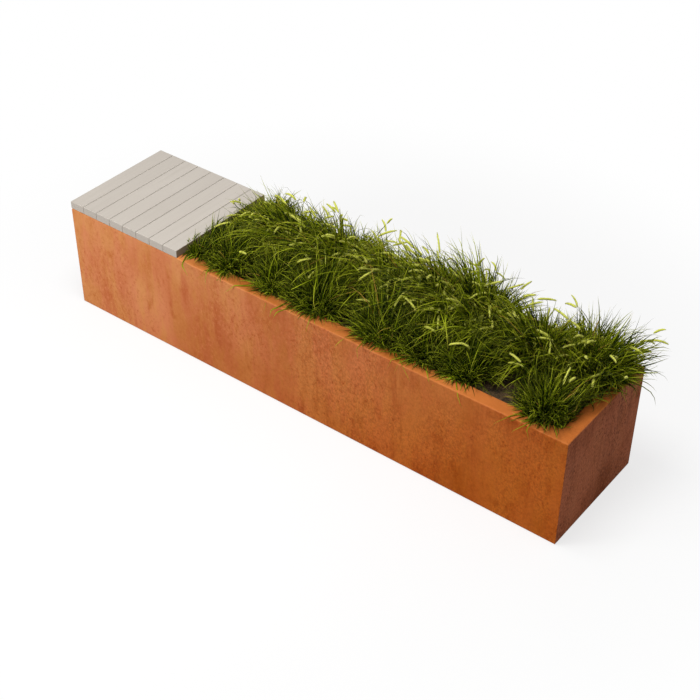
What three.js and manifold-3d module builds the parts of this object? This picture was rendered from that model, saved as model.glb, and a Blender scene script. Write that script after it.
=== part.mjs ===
// Bench with planter: a folded weathering-steel trough with a slatted seat over one end and
// ornamental grasses in the rest. Millimetres, +Z up. The origin is on the ground in the middle of
// the footprint, +X runs from the seat to the planted end and +Y to the back.
import * as THREE from "three";
import { mergeVertices } from "three/addons/utils/BufferGeometryUtils.js";
import Module from "manifold-3d";

const wasm = await Module();
wasm.setup();

// Trough: four folded panels of one sheet
const troughLength = 2000;
const troughWidth = 450;
const troughHeight = 400;
const sheet = 3;
const foldRadius = 5;
const rimWidth = 50;
const lipDepth = 25;
const footWidth = 25;
const seam = 0.3; // clearance between pieces that touch
const overrun = 2; // how far a cutting solid runs past what it cuts

// Base
const runnerCount = 5;
const runnerWidth = 60;
const runnerHeight = 30;
const runnerInset = 100; // first runner's middle from the end of the trough
const drainRadius = 10;
const drainInset = 100; // from the ends of the planting space and from its sides
const drainColumns = 5;

// Bulkhead between the seat bay and the planting
const bulkheadSetback = 2; // behind the last slat's edge
const bulkheadFlange = 40;

// Seat
const seatLength = 500;
const slatCount = 8;
const slatGap = 2;
const slatThickness = 28;
const slatEase = 1.5;
const bearerLeg = 40;
const bearerSheet = 4;
const boltSpread = 280; // between the two bolts of a bearer

// Fasteners
const screwRadius = 2.25;
const screwHeadRadius = 4.5;
const screwHeadHeight = 3;
const screwBite = 18; // length of the shank inside the slat
const pilotSpare = 2; // pilot hole beyond the point of the screw
const holeClearance = 0.6;
const boltRadius = 4;
const boltAcrossCorners = 15;
const boltHeadHeight = 5.3;
const nutHeight = 6.5;
const boltEnd = 2; // thread that stands out of the nut

// Filling
const drainageDepth = 50;
const soilBelowLip = 2; // from the lip's edge down to the highest ripple of the soil
const soilRipple = 3;
const soilRippleLength = 310;
const tieBarCount = 2;
const tieBarHeight = 30;
const tieBarThickness = 6;
const tieBarFoot = 50; // length of the plate at each end, along the wall
const tieBarDrop = 30; // from the root balls down to the bars

// Grasses
const rowSpacing = 210;
const rootDepth = 110;
const rootTopRadius = 60;
const rootBaseRadius = 45;
const rootGap = 8; // from a root ball to the bulkhead and from a crown to the rim
const neckRadius = 27;
const neckHeight = 7;
const crownRadius = 35;
const crownHeight = 42;
const shoulderRadius = 33;
const shoulderHeight = 70;
const topRadius = 19;
const topHeight = 90;
const apexHeight = 96;
const leafWidth = 10;
const leafClearance = 8; // between a leaf and a rim, a slat or a neighbour's leaf
const skirtReach = 150;
const skirtArch = 72;
const fanReach = 210;
const fanArch = 150;
const fanTip = 62; // height of the leaf's tip above the soil, as the next tips
const plumeReach = 122;
const plumeArch = 170;
const plumeTip = 148;
const spikeReach = 78;
const spikeArch = 170;
const spikeTip = 212;
const spikeWidth = 13;
const stalkWidth = 4;
const sideOverhang = 32; // how far leaves reach beyond the front and back faces
const endOverhang = 112; // and beyond the planted end
const vigourShares = {
  back: [0.9, 0.98, 1.02, 1.08, 1.1, 0.9, 0.9, 0.98],
  front: [0.78, 0.84, 0.88, 0.92, 0.9, 0.84, 0.88],
};
const spikeCounts = {
  back: [2, 3, 2, 3, 3, 1, 1, 2],
  front: [1, 2, 3, 3, 2, 1, 2],
};

// Facets
const foldFacets = 2;
const holeSides = 8;
const screwSides = 6;
const crownSides = 9;

// Places that follow from these sizes
const bedLength = troughLength - seatLength + bulkheadSetback - sheet - 2 * seam;
const bedWidth = troughWidth - 2 * (sheet + seam);
const bulkheadX = seatLength - troughLength / 2 - bulkheadSetback;
const bedX = bulkheadX + seam + bedLength / 2;
const baseTop = runnerHeight + seam + sheet;
const drainageTop = baseTop + seam + drainageDepth;
const soilLevel = troughHeight - lipDepth - soilBelowLip - soilRipple;
const tieBarTop = soilLevel - rootDepth - tieBarDrop;
const slatWidth = (seatLength - (slatCount - 1) * slatGap) / slatCount;
const slatX = (i) => slatWidth / 2 + i * (slatWidth + slatGap) - troughLength / 2;
const bayStart = rimWidth + seam - troughLength / 2;
const bayEnd = bulkheadX - bulkheadFlange - seam;
const seatX = (seatLength - troughLength) / 2;
const bearerLength = 2 * Math.min(seatX - bayStart, bayEnd - seatX);
const screwLine = troughWidth / 2 - rimWidth - seam - bearerLeg / 2;
const boltLevel = troughHeight - lipDepth / 2;

// Materials
const weatheringSteel = new THREE.MeshStandardMaterial({ color: 0xb4622f, roughness: 0.85, metalness: 0.2 });
const galvanised = new THREE.MeshStandardMaterial({ color: 0x9a9d9c, roughness: 0.5, metalness: 0.8 });
const stainless = new THREE.MeshStandardMaterial({ color: 0xc4c4c0, roughness: 0.3, metalness: 1 });
const greyedTimber = new THREE.MeshStandardMaterial({ color: 0xcdc6ba, roughness: 0.7, metalness: 0 });
const gravel = new THREE.MeshStandardMaterial({ color: 0x8d8478, roughness: 0.95, metalness: 0 });
const soilBrown = new THREE.MeshStandardMaterial({ color: 0x33241a, roughness: 1, metalness: 0 });
const grassGreen = new THREE.MeshStandardMaterial({ color: 0x54701c, roughness: 0.6, metalness: 0 });

// Shape tools

// A closed geometry as a solid that can be joined and cut.
function solidOf(geometry) {
  const bare = geometry.clone();
  bare.deleteAttribute("normal");
  bare.deleteAttribute("uv");
  const merged = mergeVertices(bare);
  const vertProperties = merged.getAttribute("position").array;
  const triVerts = new Uint32Array(merged.index.array);
  return new wasm.Manifold(new wasm.Mesh({ numProp: 3, vertProperties, triVerts }));
}

function geometryOf(solid) {
  const { vertProperties, triVerts } = solid.getMesh();
  const geometry = new THREE.BufferGeometry();
  geometry.setAttribute("position", new THREE.BufferAttribute(vertProperties, 3));
  geometry.setIndex(new THREE.BufferAttribute(triVerts, 1));
  geometry.computeVertexNormals();
  return geometry;
}

function cut(geometry, cutters) {
  return geometryOf(cutters.reduce((solid, cutter) => solid.subtract(solidOf(cutter)), solidOf(geometry)));
}

function join(geometries) {
  return geometryOf(geometries.map(solidOf).reduce((whole, part) => whole.add(part)));
}

// A shape drawn in X and Y, extruded upwards from z = 0.
function upright(shape, height, curveSegments) {
  return new THREE.ExtrudeGeometry(shape, { depth: height, bevelEnabled: false, curveSegments });
}

// A section drawn in Y and Z, extruded along X and centred on x = 0.
function alongX(section, length) {
  const axes = new THREE.Matrix4().makeBasis(
    new THREE.Vector3(0, 1, 0),
    new THREE.Vector3(0, 0, 1),
    new THREE.Vector3(1, 0, 0),
  );
  return upright(section, length, foldFacets).translate(0, 0, -length / 2).applyMatrix4(axes);
}

// A section drawn in X and Z, extruded along Y and centred on y = 0.
function alongY(section, length) {
  return upright(section, length, foldFacets).translate(0, 0, -length / 2).rotateX(Math.PI / 2);
}

// A profile of [radius, height] pairs carried round the Z axis, its first corner at azimuth 0.
function turned(profile, sides) {
  const points = profile.map(([radius, height]) => new THREE.Vector2(radius, height));
  return new THREE.LatheGeometry(points, sides, Math.PI / 2).rotateX(Math.PI / 2);
}

// A round cutter or rod that stands on z = 0.
function rod(radius, height, sides) {
  const profile = [
    [0, 0],
    [radius, 0],
    [radius, height],
    [0, height],
  ];
  return turned(profile, sides);
}

function rectangle(width, height) {
  const shape = new THREE.Shape();
  shape.moveTo(-width / 2, -height / 2);
  shape.lineTo(width / 2, -height / 2);
  shape.lineTo(width / 2, height / 2);
  shape.lineTo(-width / 2, height / 2);
  shape.closePath();
  return shape;
}

function roundedRectangle(width, height, radius) {
  const [x, y] = [width / 2 - radius, height / 2 - radius];
  const shape = new THREE.Shape();
  shape.moveTo(-x, -y - radius);
  shape.lineTo(x, -y - radius);
  shape.absarc(x, -y, radius, -Math.PI / 2, 0, false);
  shape.absarc(x, y, radius, 0, Math.PI / 2, false);
  shape.absarc(-x, y, radius, Math.PI / 2, Math.PI, false);
  shape.absarc(-x, -y, radius, Math.PI, 1.5 * Math.PI, false);
  return shape;
}

// The section of a folded sheet. The outside runs through the corners, which all turn to the right.
function foldedSection(corners, thickness) {
  const points = corners.map(([x, y]) => new THREE.Vector2(x, y));
  const directions = points.slice(1).map((point, i) => point.clone().sub(points[i]).normalize());
  const inwards = (point, direction) => {
    return new THREE.Vector2(direction.y, -direction.x).multiplyScalar(thickness).add(point);
  };
  const folds = directions.slice(1).map((after, i) => {
    const before = directions[i];
    const centre = points[i + 1].clone();
    centre.addScaledVector(before, -foldRadius).addScaledVector(after, foldRadius);
    return { centre, start: Math.atan2(-after.y, -after.x), end: Math.atan2(before.y, before.x) };
  });
  const first = points[0];
  const last = points.at(-1);
  const firstInside = inwards(first, directions[0]);
  const lastInside = inwards(last, directions.at(-1));
  const section = new THREE.Shape();
  section.moveTo(firstInside.x, firstInside.y);
  section.lineTo(first.x, first.y);
  for (const { centre, start, end } of folds) {
    section.absarc(centre.x, centre.y, foldRadius, start, end, true);
  }
  section.lineTo(last.x, last.y);
  section.lineTo(lastInside.x, lastInside.y);
  for (const { centre, start, end } of folds.reverse()) {
    section.absarc(centre.x, centre.y, foldRadius - thickness, end, start, false);
  }
  return section;
}

// The model: one group for the trough, one for the seat and one for the planting
const bench = new THREE.Group();
const trough = new THREE.Group();
const seat = new THREE.Group();
const planting = new THREE.Group();
bench.add(trough, seat, planting);

function place(parent, name, geometry, material, [x, y, z] = [0, 0, 0], turn = 0) {
  const mesh = new THREE.Mesh(geometry, material);
  mesh.name = name;
  mesh.position.set(x, y, z);
  mesh.rotation.z = turn;
  parent.add(mesh);
  return mesh;
}

// Trough panels: wall, rim and lip at the top and foot at the bottom in one folded sheet, drawn with
// X along the wall, Y inwards from its outer face and Z up. The ends are mitred: every point of the
// section stops short of the corner by its own depth.
function troughPanel(run, holes) {
  const corners = [
    [footWidth, 0],
    [0, 0],
    [0, troughHeight],
    [rimWidth, troughHeight],
    [rimWidth, troughHeight - lipDepth],
  ];
  const panel = alongX(foldedSection(corners, sheet), run);
  const position = panel.getAttribute("position");
  const mitreSeam = seam / Math.SQRT2;
  for (let i = 0; i < position.count; i++) {
    const end = Math.sign(position.getX(i));
    position.setX(i, end * (run / 2 - mitreSeam - position.getY(i)));
  }
  return holes.length ? cut(panel, holes) : panel;
}

// A hole through the lip of a long panel for a bearer bolt.
function lipHole(x) {
  const hole = rod(boltRadius + holeClearance, sheet + 2 * overrun, holeSides).rotateX(-Math.PI / 2);
  return hole.translate(x, rimWidth - sheet - overrun, boltLevel);
}

const boltPlaces = [-1, 1].map((side) => seatX + (side * boltSpread) / 2);
const screwPlaces = [-screwLine, screwLine];

place(trough, "front_panel", troughPanel(troughLength, boltPlaces.map(lipHole)), weatheringSteel, [
  0,
  -troughWidth / 2,
  0,
]);
place(
  trough,
  "back_panel",
  troughPanel(troughLength, boltPlaces.map((x) => lipHole(-x))),
  weatheringSteel,
  [0, troughWidth / 2, 0],
  Math.PI,
);

// The rim of the seat end also carries the first slat, with a hole for each of its screws.
const rimHoles = screwPlaces.map((x) => {
  const hole = rod(screwRadius + holeClearance, sheet + 2 * overrun, holeSides);
  return hole.translate(x, slatWidth / 2, troughHeight - sheet - overrun);
});
place(
  trough,
  "seat_end_panel",
  troughPanel(troughWidth, rimHoles),
  weatheringSteel,
  [-troughLength / 2, 0, 0],
  -Math.PI / 2,
);
place(
  trough,
  "planting_end_panel",
  troughPanel(troughWidth, []),
  weatheringSteel,
  [troughLength / 2, 0, 0],
  Math.PI / 2,
);

// Base: rectangular tubes across the trough, between the feet of the long panels, carry a plate
// that is drilled for drainage.
const runnerLength = troughWidth - 2 * (footWidth + seam);
const runnerSection = roundedRectangle(runnerWidth, runnerHeight, foldRadius);
const runnerBore = roundedRectangle(runnerWidth - 2 * sheet, runnerHeight - 2 * sheet, foldRadius - sheet);
runnerSection.holes.push(runnerBore);
const runner = alongY(runnerSection, runnerLength);
for (let i = 0; i < runnerCount; i++) {
  const spacing = (troughLength - 2 * runnerInset) / (runnerCount - 1);
  const x = runnerInset + i * spacing - troughLength / 2;
  place(trough, `base_runner_${i + 1}`, runner, weatheringSteel, [x, 0, runnerHeight / 2]);
}

function basePlate() {
  const outline = rectangle(troughLength - 2 * (sheet + seam), bedWidth);
  for (let i = 0; i < drainColumns; i++) {
    const x = bedX - bedLength / 2 + drainInset + (i * (bedLength - 2 * drainInset)) / (drainColumns - 1);
    for (const side of [-1, 1]) {
      const drain = new THREE.Path();
      drain.absarc(x, side * (bedWidth / 2 - drainInset), drainRadius, 0, 2 * Math.PI, false);
      outline.holes.push(drain);
    }
  }
  return upright(outline, sheet, holeSides / 2);
}
place(trough, "base_plate", basePlate(), weatheringSteel, [0, 0, runnerHeight + seam]);

// Bulkhead: a sheet across the trough, folded towards the seat at top and bottom and notched round
// the rims. Its top flange carries the last slat.
function bulkhead() {
  const corners = [
    [-bulkheadFlange, troughHeight],
    [0, troughHeight],
    [0, baseTop + seam],
    [-bulkheadFlange, baseTop + seam],
  ];
  const depth = bulkheadFlange + 2 * overrun;
  const notchWidth = rimWidth - sheet + overrun;
  const notchHeight = lipDepth + seam + overrun;
  const notches = [-1, 1].map((side) => {
    const notch = upright(rectangle(depth, notchWidth), notchHeight);
    const y = side * (troughWidth / 2 - rimWidth - seam + notchWidth / 2);
    return notch.translate(-bulkheadFlange / 2, y, troughHeight + overrun - notchHeight);
  });
  const holes = screwPlaces.map((y) => {
    const hole = rod(screwRadius + holeClearance, sheet + 2 * overrun, holeSides);
    return hole.translate(slatX(slatCount - 1) - bulkheadX, y, troughHeight - sheet - overrun);
  });
  return cut(alongY(foldedSection(corners, sheet), bedWidth), [...notches, ...holes]);
}
place(trough, "bulkhead", bulkhead(), weatheringSteel, [bulkheadX, 0, 0]);

// Slats: planed boards with eased edges, drilled from below for their screws.
function slat() {
  const board = new THREE.ExtrudeGeometry(rectangle(slatWidth, troughWidth), {
    depth: slatThickness - 2 * slatEase,
    bevelThickness: slatEase,
    bevelSize: slatEase,
    bevelOffset: -slatEase,
    bevelSegments: 2,
  }).translate(0, 0, slatEase);
  const pilots = screwPlaces.map((y) => {
    const pilot = rod(screwRadius + holeClearance, screwBite + pilotSpare + overrun, holeSides);
    return pilot.translate(0, y, -overrun);
  });
  return cut(board, pilots);
}
const board = slat();
for (let i = 0; i < slatCount; i++) {
  place(seat, `slat_${i + 1}`, board, greyedTimber, [slatX(i), 0, troughHeight + seam]);
}

// Slat screws: the end slats are held through the sheet below them and the others through a bearer,
// with the head underneath and the point up.
function slatScrew(grip) {
  const neck = screwHeadHeight + seam + grip + seam;
  const profile = [
    [0, 0],
    [0.7 * screwHeadRadius, 0],
    [screwHeadRadius, screwHeadHeight],
    [screwRadius, screwHeadHeight],
    [screwRadius, neck + screwBite - 2 * screwRadius],
    [0, neck + screwBite],
  ];
  return turned(profile, screwSides);
}
for (let i = 0; i < slatCount; i++) {
  const grip = i === 0 || i === slatCount - 1 ? sheet : bearerSheet;
  const z = troughHeight - grip - seam - screwHeadHeight;
  for (const [side, y] of [
    ["front", -screwLine],
    ["back", screwLine],
  ]) {
    place(seat, `slat_screw_${i + 1}_${side}`, slatScrew(grip), stainless, [slatX(i), y, z]);
  }
}

// Bearers: an angle along each lip, bolted to it, with its flat leg under the slats. The two are one
// piece, turned half round about the middle of the seat for the back.
function bearer() {
  const corners = [
    [0, -bearerLeg],
    [0, 0],
    [bearerLeg, 0],
  ];
  const angle = alongX(foldedSection(corners, bearerSheet), bearerLength);
  const screwHoles = [];
  for (let i = 1; i < slatCount - 1; i++) {
    const hole = rod(screwRadius + holeClearance, bearerSheet + 2 * overrun, holeSides);
    screwHoles.push(hole.translate(slatX(i) - seatX, bearerLeg / 2, -bearerSheet - overrun));
  }
  const boltHoles = boltPlaces.map((x) => {
    const hole = rod(boltRadius + holeClearance, bearerSheet + 2 * overrun, holeSides).rotateX(-Math.PI / 2);
    return hole.translate(x - seatX, -overrun, boltLevel - troughHeight);
  });
  return cut(angle, [...screwHoles, ...boltHoles]);
}

// A bolt through bearer and lip: hexagon head on the bearer, nut behind the lip. It is drawn upright
// with z = 0 at the end of the thread.
function bearerBolt() {
  const hexagon = boltAcrossCorners / 2;
  const grip = sheet + bearerSheet + 3 * seam;
  const nut = rod(hexagon, nutHeight, 6).translate(0, 0, boltEnd);
  const head = rod(hexagon, boltHeadHeight, 6).translate(0, 0, boltEnd + nutHeight + grip);
  const shank = rod(boltRadius, boltEnd + nutHeight + grip + boltHeadHeight / 2, holeSides);
  return join([shank, nut, head]);
}

const angleBearer = bearer();
const bolt = bearerBolt().rotateX(-Math.PI / 2);
for (const [side, turn] of [
  ["front", 0],
  ["back", Math.PI],
]) {
  const frame = new THREE.Group();
  frame.position.set(seatX, 0, troughHeight);
  frame.rotation.z = turn;
  seat.add(frame);
  const lipFace = rimWidth - troughWidth / 2;
  place(frame, `seat_bearer_${side}`, angleBearer, galvanised, [0, lipFace + seam, 0]);
  boltPlaces.forEach((x, i) => {
    const y = lipFace - sheet - seam - nutHeight - boltEnd;
    place(frame, `bearer_bolt_${side}_${i + 1}`, bolt, stainless, [x - seatX, y, boltLevel - troughHeight]);
  });
}

// Tie bars: flat bars with a welded plate at each end hold the long walls together under the roots.
function tieBarOutline(grow) {
  const outer = bedWidth / 2 + grow;
  const inner = bedWidth / 2 - tieBarThickness - grow;
  const web = tieBarThickness / 2 + grow;
  const foot = tieBarFoot / 2 + grow;
  const quarter = [
    [foot, outer],
    [foot, inner],
    [web, inner],
  ];
  const mirrored = quarter.map(([x, y]) => [x, -y]).reverse();
  const right = [...quarter, ...mirrored];
  const left = right.map(([x, y]) => [-x, y]).reverse();
  return new THREE.Shape([...right, ...left].map(([x, y]) => new THREE.Vector2(x, y)));
}
const tieBar = upright(tieBarOutline(0), tieBarHeight);
const tieBarPlaces = [];
for (let i = 0; i < tieBarCount; i++) {
  tieBarPlaces.push(bedX + ((i + 0.5) / tieBarCount - 0.5) * bedLength);
  place(trough, `tie_bar_${i + 1}`, tieBar, weatheringSteel, [tieBarPlaces[i], 0, tieBarTop - tieBarHeight]);
}

// Plants stand in two staggered rows, the back row one plant longer than the front one.
const firstPlant = bulkheadX + rootTopRadius + rootGap;
const lastPlant = troughLength / 2 - rimWidth - crownRadius - rootGap;
const plantPitch = (lastPlant - firstPlant) / (vigourShares.back.length - 1);
const plants = [];
for (const [row, side] of [
  ["front", -1],
  ["back", 1],
]) {
  vigourShares[row].forEach((vigour, i) => {
    const start = firstPlant + (row === "back" ? 0 : plantPitch / 2);
    const centre = new THREE.Vector2(start + i * plantPitch, (side * rowSpacing) / 2);
    plants.push({ name: `grass_${row}_${i + 1}`, centre, vigour, spikes: spikeCounts[row][i] });
  });
}

// Filling: a drainage layer of gravel, then the soil, whose top is rippled and which has a pocket
// for each root ball and a slot for each tie bar.
const drainageLayer = upright(rectangle(bedLength, bedWidth), drainageDepth);
place(planting, "drainage_layer", drainageLayer, gravel, [bedX, 0, baseTop + seam]);

function soilBed() {
  const base = drainageTop + seam;
  const bed = new THREE.BoxGeometry(bedLength, bedWidth, soilLevel - base, 16, 4, 1);
  bed.translate(bedX, 0, (soilLevel + base) / 2);
  const position = bed.getAttribute("position");
  for (let i = 0; i < position.count; i++) {
    if (position.getZ(i) < soilLevel - soilRipple) continue;
    const [u, v] = [position.getX(i) / soilRippleLength, position.getY(i) / soilRippleLength];
    const ripple = Math.sin(2 * Math.PI * (u + v)) + Math.sin(2 * Math.PI * (2.3 * u - 3.1 * v));
    position.setZ(i, soilLevel + (soilRipple * ripple) / 2);
  }
  const [wide, narrow] = [rootTopRadius + seam, rootBaseRadius + seam];
  const rise = soilRipple + overrun;
  const pocket = turned(
    [
      [0, -rootDepth - seam],
      [narrow, -rootDepth - seam],
      [wide, 0],
      [wide, rise],
      [0, rise],
    ],
    crownSides,
  );
  const slot = upright(tieBarOutline(seam), tieBarHeight + 2 * seam);
  const pockets = plants.map(({ centre }) => pocket.clone().translate(centre.x, centre.y, soilLevel));
  const slots = tieBarPlaces.map((x) => slot.clone().translate(x, 0, tieBarTop - tieBarHeight - seam));
  return cut(bed, [...pockets, ...slots]);
}
place(planting, "soil", soilBed(), soilBrown);

// A stream of well-spread numbers from 0 to 1, the same in every build: the fractions that are left
// of whole multiples of the golden ratio, from a start that differs for each plant.
function spreadStream(plantIndex) {
  const goldenRatio = (1 + Math.sqrt(5)) / 2;
  let total = plantIndex * Math.SQRT2;
  return () => {
    total += goldenRatio;
    return total % 1;
  };
}

// How far a plant's leaf may reach at an azimuth: to half-way between it and each neighbour, to the
// seat, and to the overhang at the other three sides.
function reachLimit(centre, azimuth) {
  const heading = new THREE.Vector2(Math.cos(azimuth), Math.sin(azimuth));
  const limits = plants
    .filter((other) => other.centre !== centre)
    .map((other) => {
      const towards = other.centre.clone().sub(centre);
      return [towards.clone().normalize(), towards.length() / 2 - leafClearance];
    });
  limits.push([new THREE.Vector2(-1, 0), centre.x - (seatLength - troughLength / 2) - leafClearance]);
  limits.push([new THREE.Vector2(1, 0), troughLength / 2 + endOverhang - centre.x]);
  limits.push([new THREE.Vector2(0, 1), troughWidth / 2 + sideOverhang - centre.y]);
  limits.push([new THREE.Vector2(0, -1), troughWidth / 2 + sideOverhang + centre.y]);
  const reaches = limits.map(([direction, distance]) => {
    const along = direction.dot(heading);
    return along > 0 ? distance / along : Infinity;
  });
  return Math.min(...reaches);
}

// A grass plant about its own axis, with z = 0 at the soil. Rings make the potted root ball and the
// domed crown, each ring of the crown half a step on from the one below, and the facets between
// them grow into three-sided leaves that arch outwards, so that the plant is one closed skin.
function grassPlant({ centre, vigour, spikes }, plantIndex) {
  const random = spreadStream(plantIndex);
  const step = (2 * Math.PI) / crownSides;
  const rings = [
    [rootBaseRadius, -rootDepth, 0],
    [rootTopRadius, 0, 0],
    [neckRadius, neckHeight, 0.5],
    [crownRadius, vigour * crownHeight, 1],
    [shoulderRadius, vigour * shoulderHeight, 1.5],
    [topRadius, vigour * topHeight, 2],
  ];
  const vertices = [];
  const triangles = [];
  const addPoint = (radius, azimuth, height) => {
    vertices.push([radius * Math.cos(azimuth), radius * Math.sin(azimuth), height]);
    return vertices.length - 1;
  };
  const ringVertices = rings.map(([radius, height, shift]) => {
    const ring = [];
    for (let i = 0; i < crownSides; i++) ring.push(addPoint(radius, (i + shift) * step, height));
    return ring;
  });
  const apex = addPoint(0, 0, vigour * apexHeight);

  // Leaf on a facet: its middle follows a quadratic curve in radius and height, and swings a little
  // to one side on the way. Where there is no room for its full length, the whole curve is smaller,
  // so that it leaves the crown at the same slope and stays clear of the leaves above and below it.
  // The sections are [share of the curve, width, depth]. A facet that stands on a point gives a leaf
  // with a keel below, and the other kind one with a ridge.
  const grow = (facet, keelDown, reach, arch, tip, sections) => {
    const middle = [0, 1, 2].map((axis) => facet.reduce((sum, v) => sum + vertices[v][axis], 0) / 3);
    const start = new THREE.Vector2(Math.hypot(middle[0], middle[1]), middle[2]);
    const azimuth = Math.atan2(middle[1], middle[0]);
    const swing = (random() - 0.5) * 0.5 * step;
    const fullLength = reach * (0.86 + 0.14 * random()) - start.x;
    const room = reachLimit(centre, azimuth + swing) - start.x;
    const sizeShare = Math.min(1, room / fullLength);
    const tipRise = tip * (0.94 + 0.06 * random()) - start.y;
    const archRise = arch * (0.85 + 0.15 * random());
    const end = new THREE.Vector2(fullLength, tipRise).multiplyScalar(sizeShare).add(start);
    const over = new THREE.Vector2(0.4 * fullLength, archRise).multiplyScalar(sizeShare).add(start);
    const curve = new THREE.QuadraticBezierCurve(start, over, end);
    let previous = facet;
    for (const [share, width, depth] of sections) {
      const point = curve.getPoint(share);
      const tangent = curve.getTangent(share);
      const rise = new THREE.Vector2(-tangent.y, tangent.x).multiplyScalar(keelDown ? -depth : depth);
      const angle = azimuth + swing * share;
      const spread = Math.atan2(width / 2, point.x);
      const left = addPoint(point.x, angle - spread, point.y);
      const right = addPoint(point.x, angle + spread, point.y);
      const spine = addPoint(point.x + rise.x, angle, point.y + rise.y);
      const section = keelDown ? [spine, right, left] : [left, right, spine];
      for (let k = 0; k < 3; k++) {
        const next = (k + 1) % 3;
        triangles.push([previous[k], previous[next], section[next]]);
        triangles.push([previous[k], section[next], section[k]]);
      }
      previous = section;
    }
    const point = addPoint(end.x, azimuth + swing, end.y);
    for (let k = 0; k < 3; k++) triangles.push([previous[k], previous[(k + 1) % 3], point]);
  };

  const bladeDepth = 0.35 * leafWidth;
  const shortLeaf = [[0.4, leafWidth, bladeDepth]];
  const longLeaf = [
    [0.28, leafWidth, bladeDepth],
    [0.66, 0.8 * leafWidth, 0.8 * bladeDepth],
  ];
  const flowerSpike = [
    [0.25, stalkWidth, 0.5 * stalkWidth],
    [0.6, stalkWidth, 0.5 * stalkWidth],
    [0.68, spikeWidth, 0.6 * spikeWidth],
    [0.92, 0.8 * spikeWidth, 0.5 * spikeWidth],
  ];
  const skirtTip = troughHeight - soilLevel + leafClearance;
  const plain = (facet) => triangles.push(facet);
  const skirt = (facet, keelDown) =>
    grow(facet, keelDown, skirtReach, vigour * skirtArch, skirtTip, shortLeaf);
  const fan = (facet, keelDown) =>
    grow(facet, keelDown, fanReach, vigour * fanArch, vigour * fanTip, longLeaf);
  const plume = (facet, keelDown) =>
    grow(facet, keelDown, plumeReach, vigour * plumeArch, vigour * plumeTip, longLeaf);
  const spike = (facet) => grow(facet, false, spikeReach, vigour * spikeArch, vigour * spikeTip, flowerSpike);

  // What grows on the upright facets and on the pointed ones of each band, from the root ball up
  const bands = [
    [plain, plain],
    [plain, plain],
    [plain, skirt],
    [fan, fan],
    [plume, plain],
  ];
  bands.forEach(([onUpright, onPointed], band) => {
    const [lower, upper] = [ringVertices[band], ringVertices[band + 1]];
    for (let i = 0; i < crownSides; i++) {
      const next = (i + 1) % crownSides;
      onUpright([lower[i], lower[next], upper[i]], false);
      onPointed([lower[next], upper[next], upper[i]], true);
    }
  });
  const top = ringVertices.at(-1);
  const spikeFacets = Array.from({ length: spikes }, (_, k) => Math.floor((k * crownSides) / spikes));
  for (let i = 0; i < crownSides; i++) {
    const facet = [top[i], top[(i + 1) % crownSides], apex];
    if (spikeFacets.includes(i)) spike(facet);
    else plain(facet);
  }
  const base = ringVertices[0];
  for (let i = 1; i < crownSides - 1; i++) triangles.push([base[0], base[i + 1], base[i]]);

  const geometry = new THREE.BufferGeometry();
  geometry.setAttribute("position", new THREE.Float32BufferAttribute(vertices.flat(), 3));
  geometry.setIndex(triangles.flat());
  geometry.computeVertexNormals();
  return geometry;
}

plants.forEach((plant, i) => {
  const { name, centre } = plant;
  place(planting, name, grassPlant(plant, i), grassGreen, [centre.x, centre.y, soilLevel]);
});

export default bench;
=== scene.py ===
"""Looks for the bench with planter: a folded weathering-steel trough with a slatted seat over one end
and ornamental grasses in the rest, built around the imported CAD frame. Metres, +X from the seat to the
planted end, +Y to the back, +Z up, with the origin on the ground in the middle of the footprint."""

import math
from itertools import combinations

import bpy
import numpy as np
from mathutils import Matrix, Vector
from mathutils.bvhtree import BVHTree


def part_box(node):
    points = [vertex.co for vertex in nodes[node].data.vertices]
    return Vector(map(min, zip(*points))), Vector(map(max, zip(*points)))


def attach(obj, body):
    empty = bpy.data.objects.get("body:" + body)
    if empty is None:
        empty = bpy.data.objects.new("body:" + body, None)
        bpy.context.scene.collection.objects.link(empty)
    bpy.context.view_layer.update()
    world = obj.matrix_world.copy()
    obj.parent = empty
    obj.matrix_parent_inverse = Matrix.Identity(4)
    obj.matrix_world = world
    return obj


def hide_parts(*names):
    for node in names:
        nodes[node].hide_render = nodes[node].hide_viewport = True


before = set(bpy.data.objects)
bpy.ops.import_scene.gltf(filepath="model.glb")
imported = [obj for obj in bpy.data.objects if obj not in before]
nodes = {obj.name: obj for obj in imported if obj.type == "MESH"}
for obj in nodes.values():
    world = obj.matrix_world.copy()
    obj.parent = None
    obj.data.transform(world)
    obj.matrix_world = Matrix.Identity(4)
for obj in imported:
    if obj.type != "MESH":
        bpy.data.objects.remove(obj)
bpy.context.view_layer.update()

# Camera: it stands beyond the planted end and in front, above the object, and looks back towards the
# seat. Heading is from +Y towards +X, and dip is below the horizon.
CAMERA_PLACE = Vector((2.28606, -2.91923, 3.02352))
CAMERA_HEADING = -0.6527
CAMERA_DIP = 0.6649
CAMERA_ROLL = 0.0074
LENS_MM = 71.87
SENSOR_MM = 36.0

gaze = Vector(
    (
        math.sin(CAMERA_HEADING) * math.cos(CAMERA_DIP),
        math.cos(CAMERA_HEADING) * math.cos(CAMERA_DIP),
        -math.sin(CAMERA_DIP),
    )
)
level_right = gaze.cross(Vector((0, 0, 1))).normalized()
level_up = level_right.cross(gaze)
camera_right = math.cos(CAMERA_ROLL) * level_right + math.sin(CAMERA_ROLL) * level_up
camera_up = math.cos(CAMERA_ROLL) * level_up - math.sin(CAMERA_ROLL) * level_right
camera_turn = Matrix((camera_right, camera_up, -gaze)).transposed().to_4x4()
camera = bpy.data.objects.new("camera", bpy.data.cameras.new("camera"))
camera.data.lens = LENS_MM
camera.data.sensor_width = SENSOR_MM
camera.matrix_world = Matrix.Translation(CAMERA_PLACE) @ camera_turn
bpy.context.scene.collection.objects.link(camera)
bpy.context.scene.camera = camera

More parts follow.
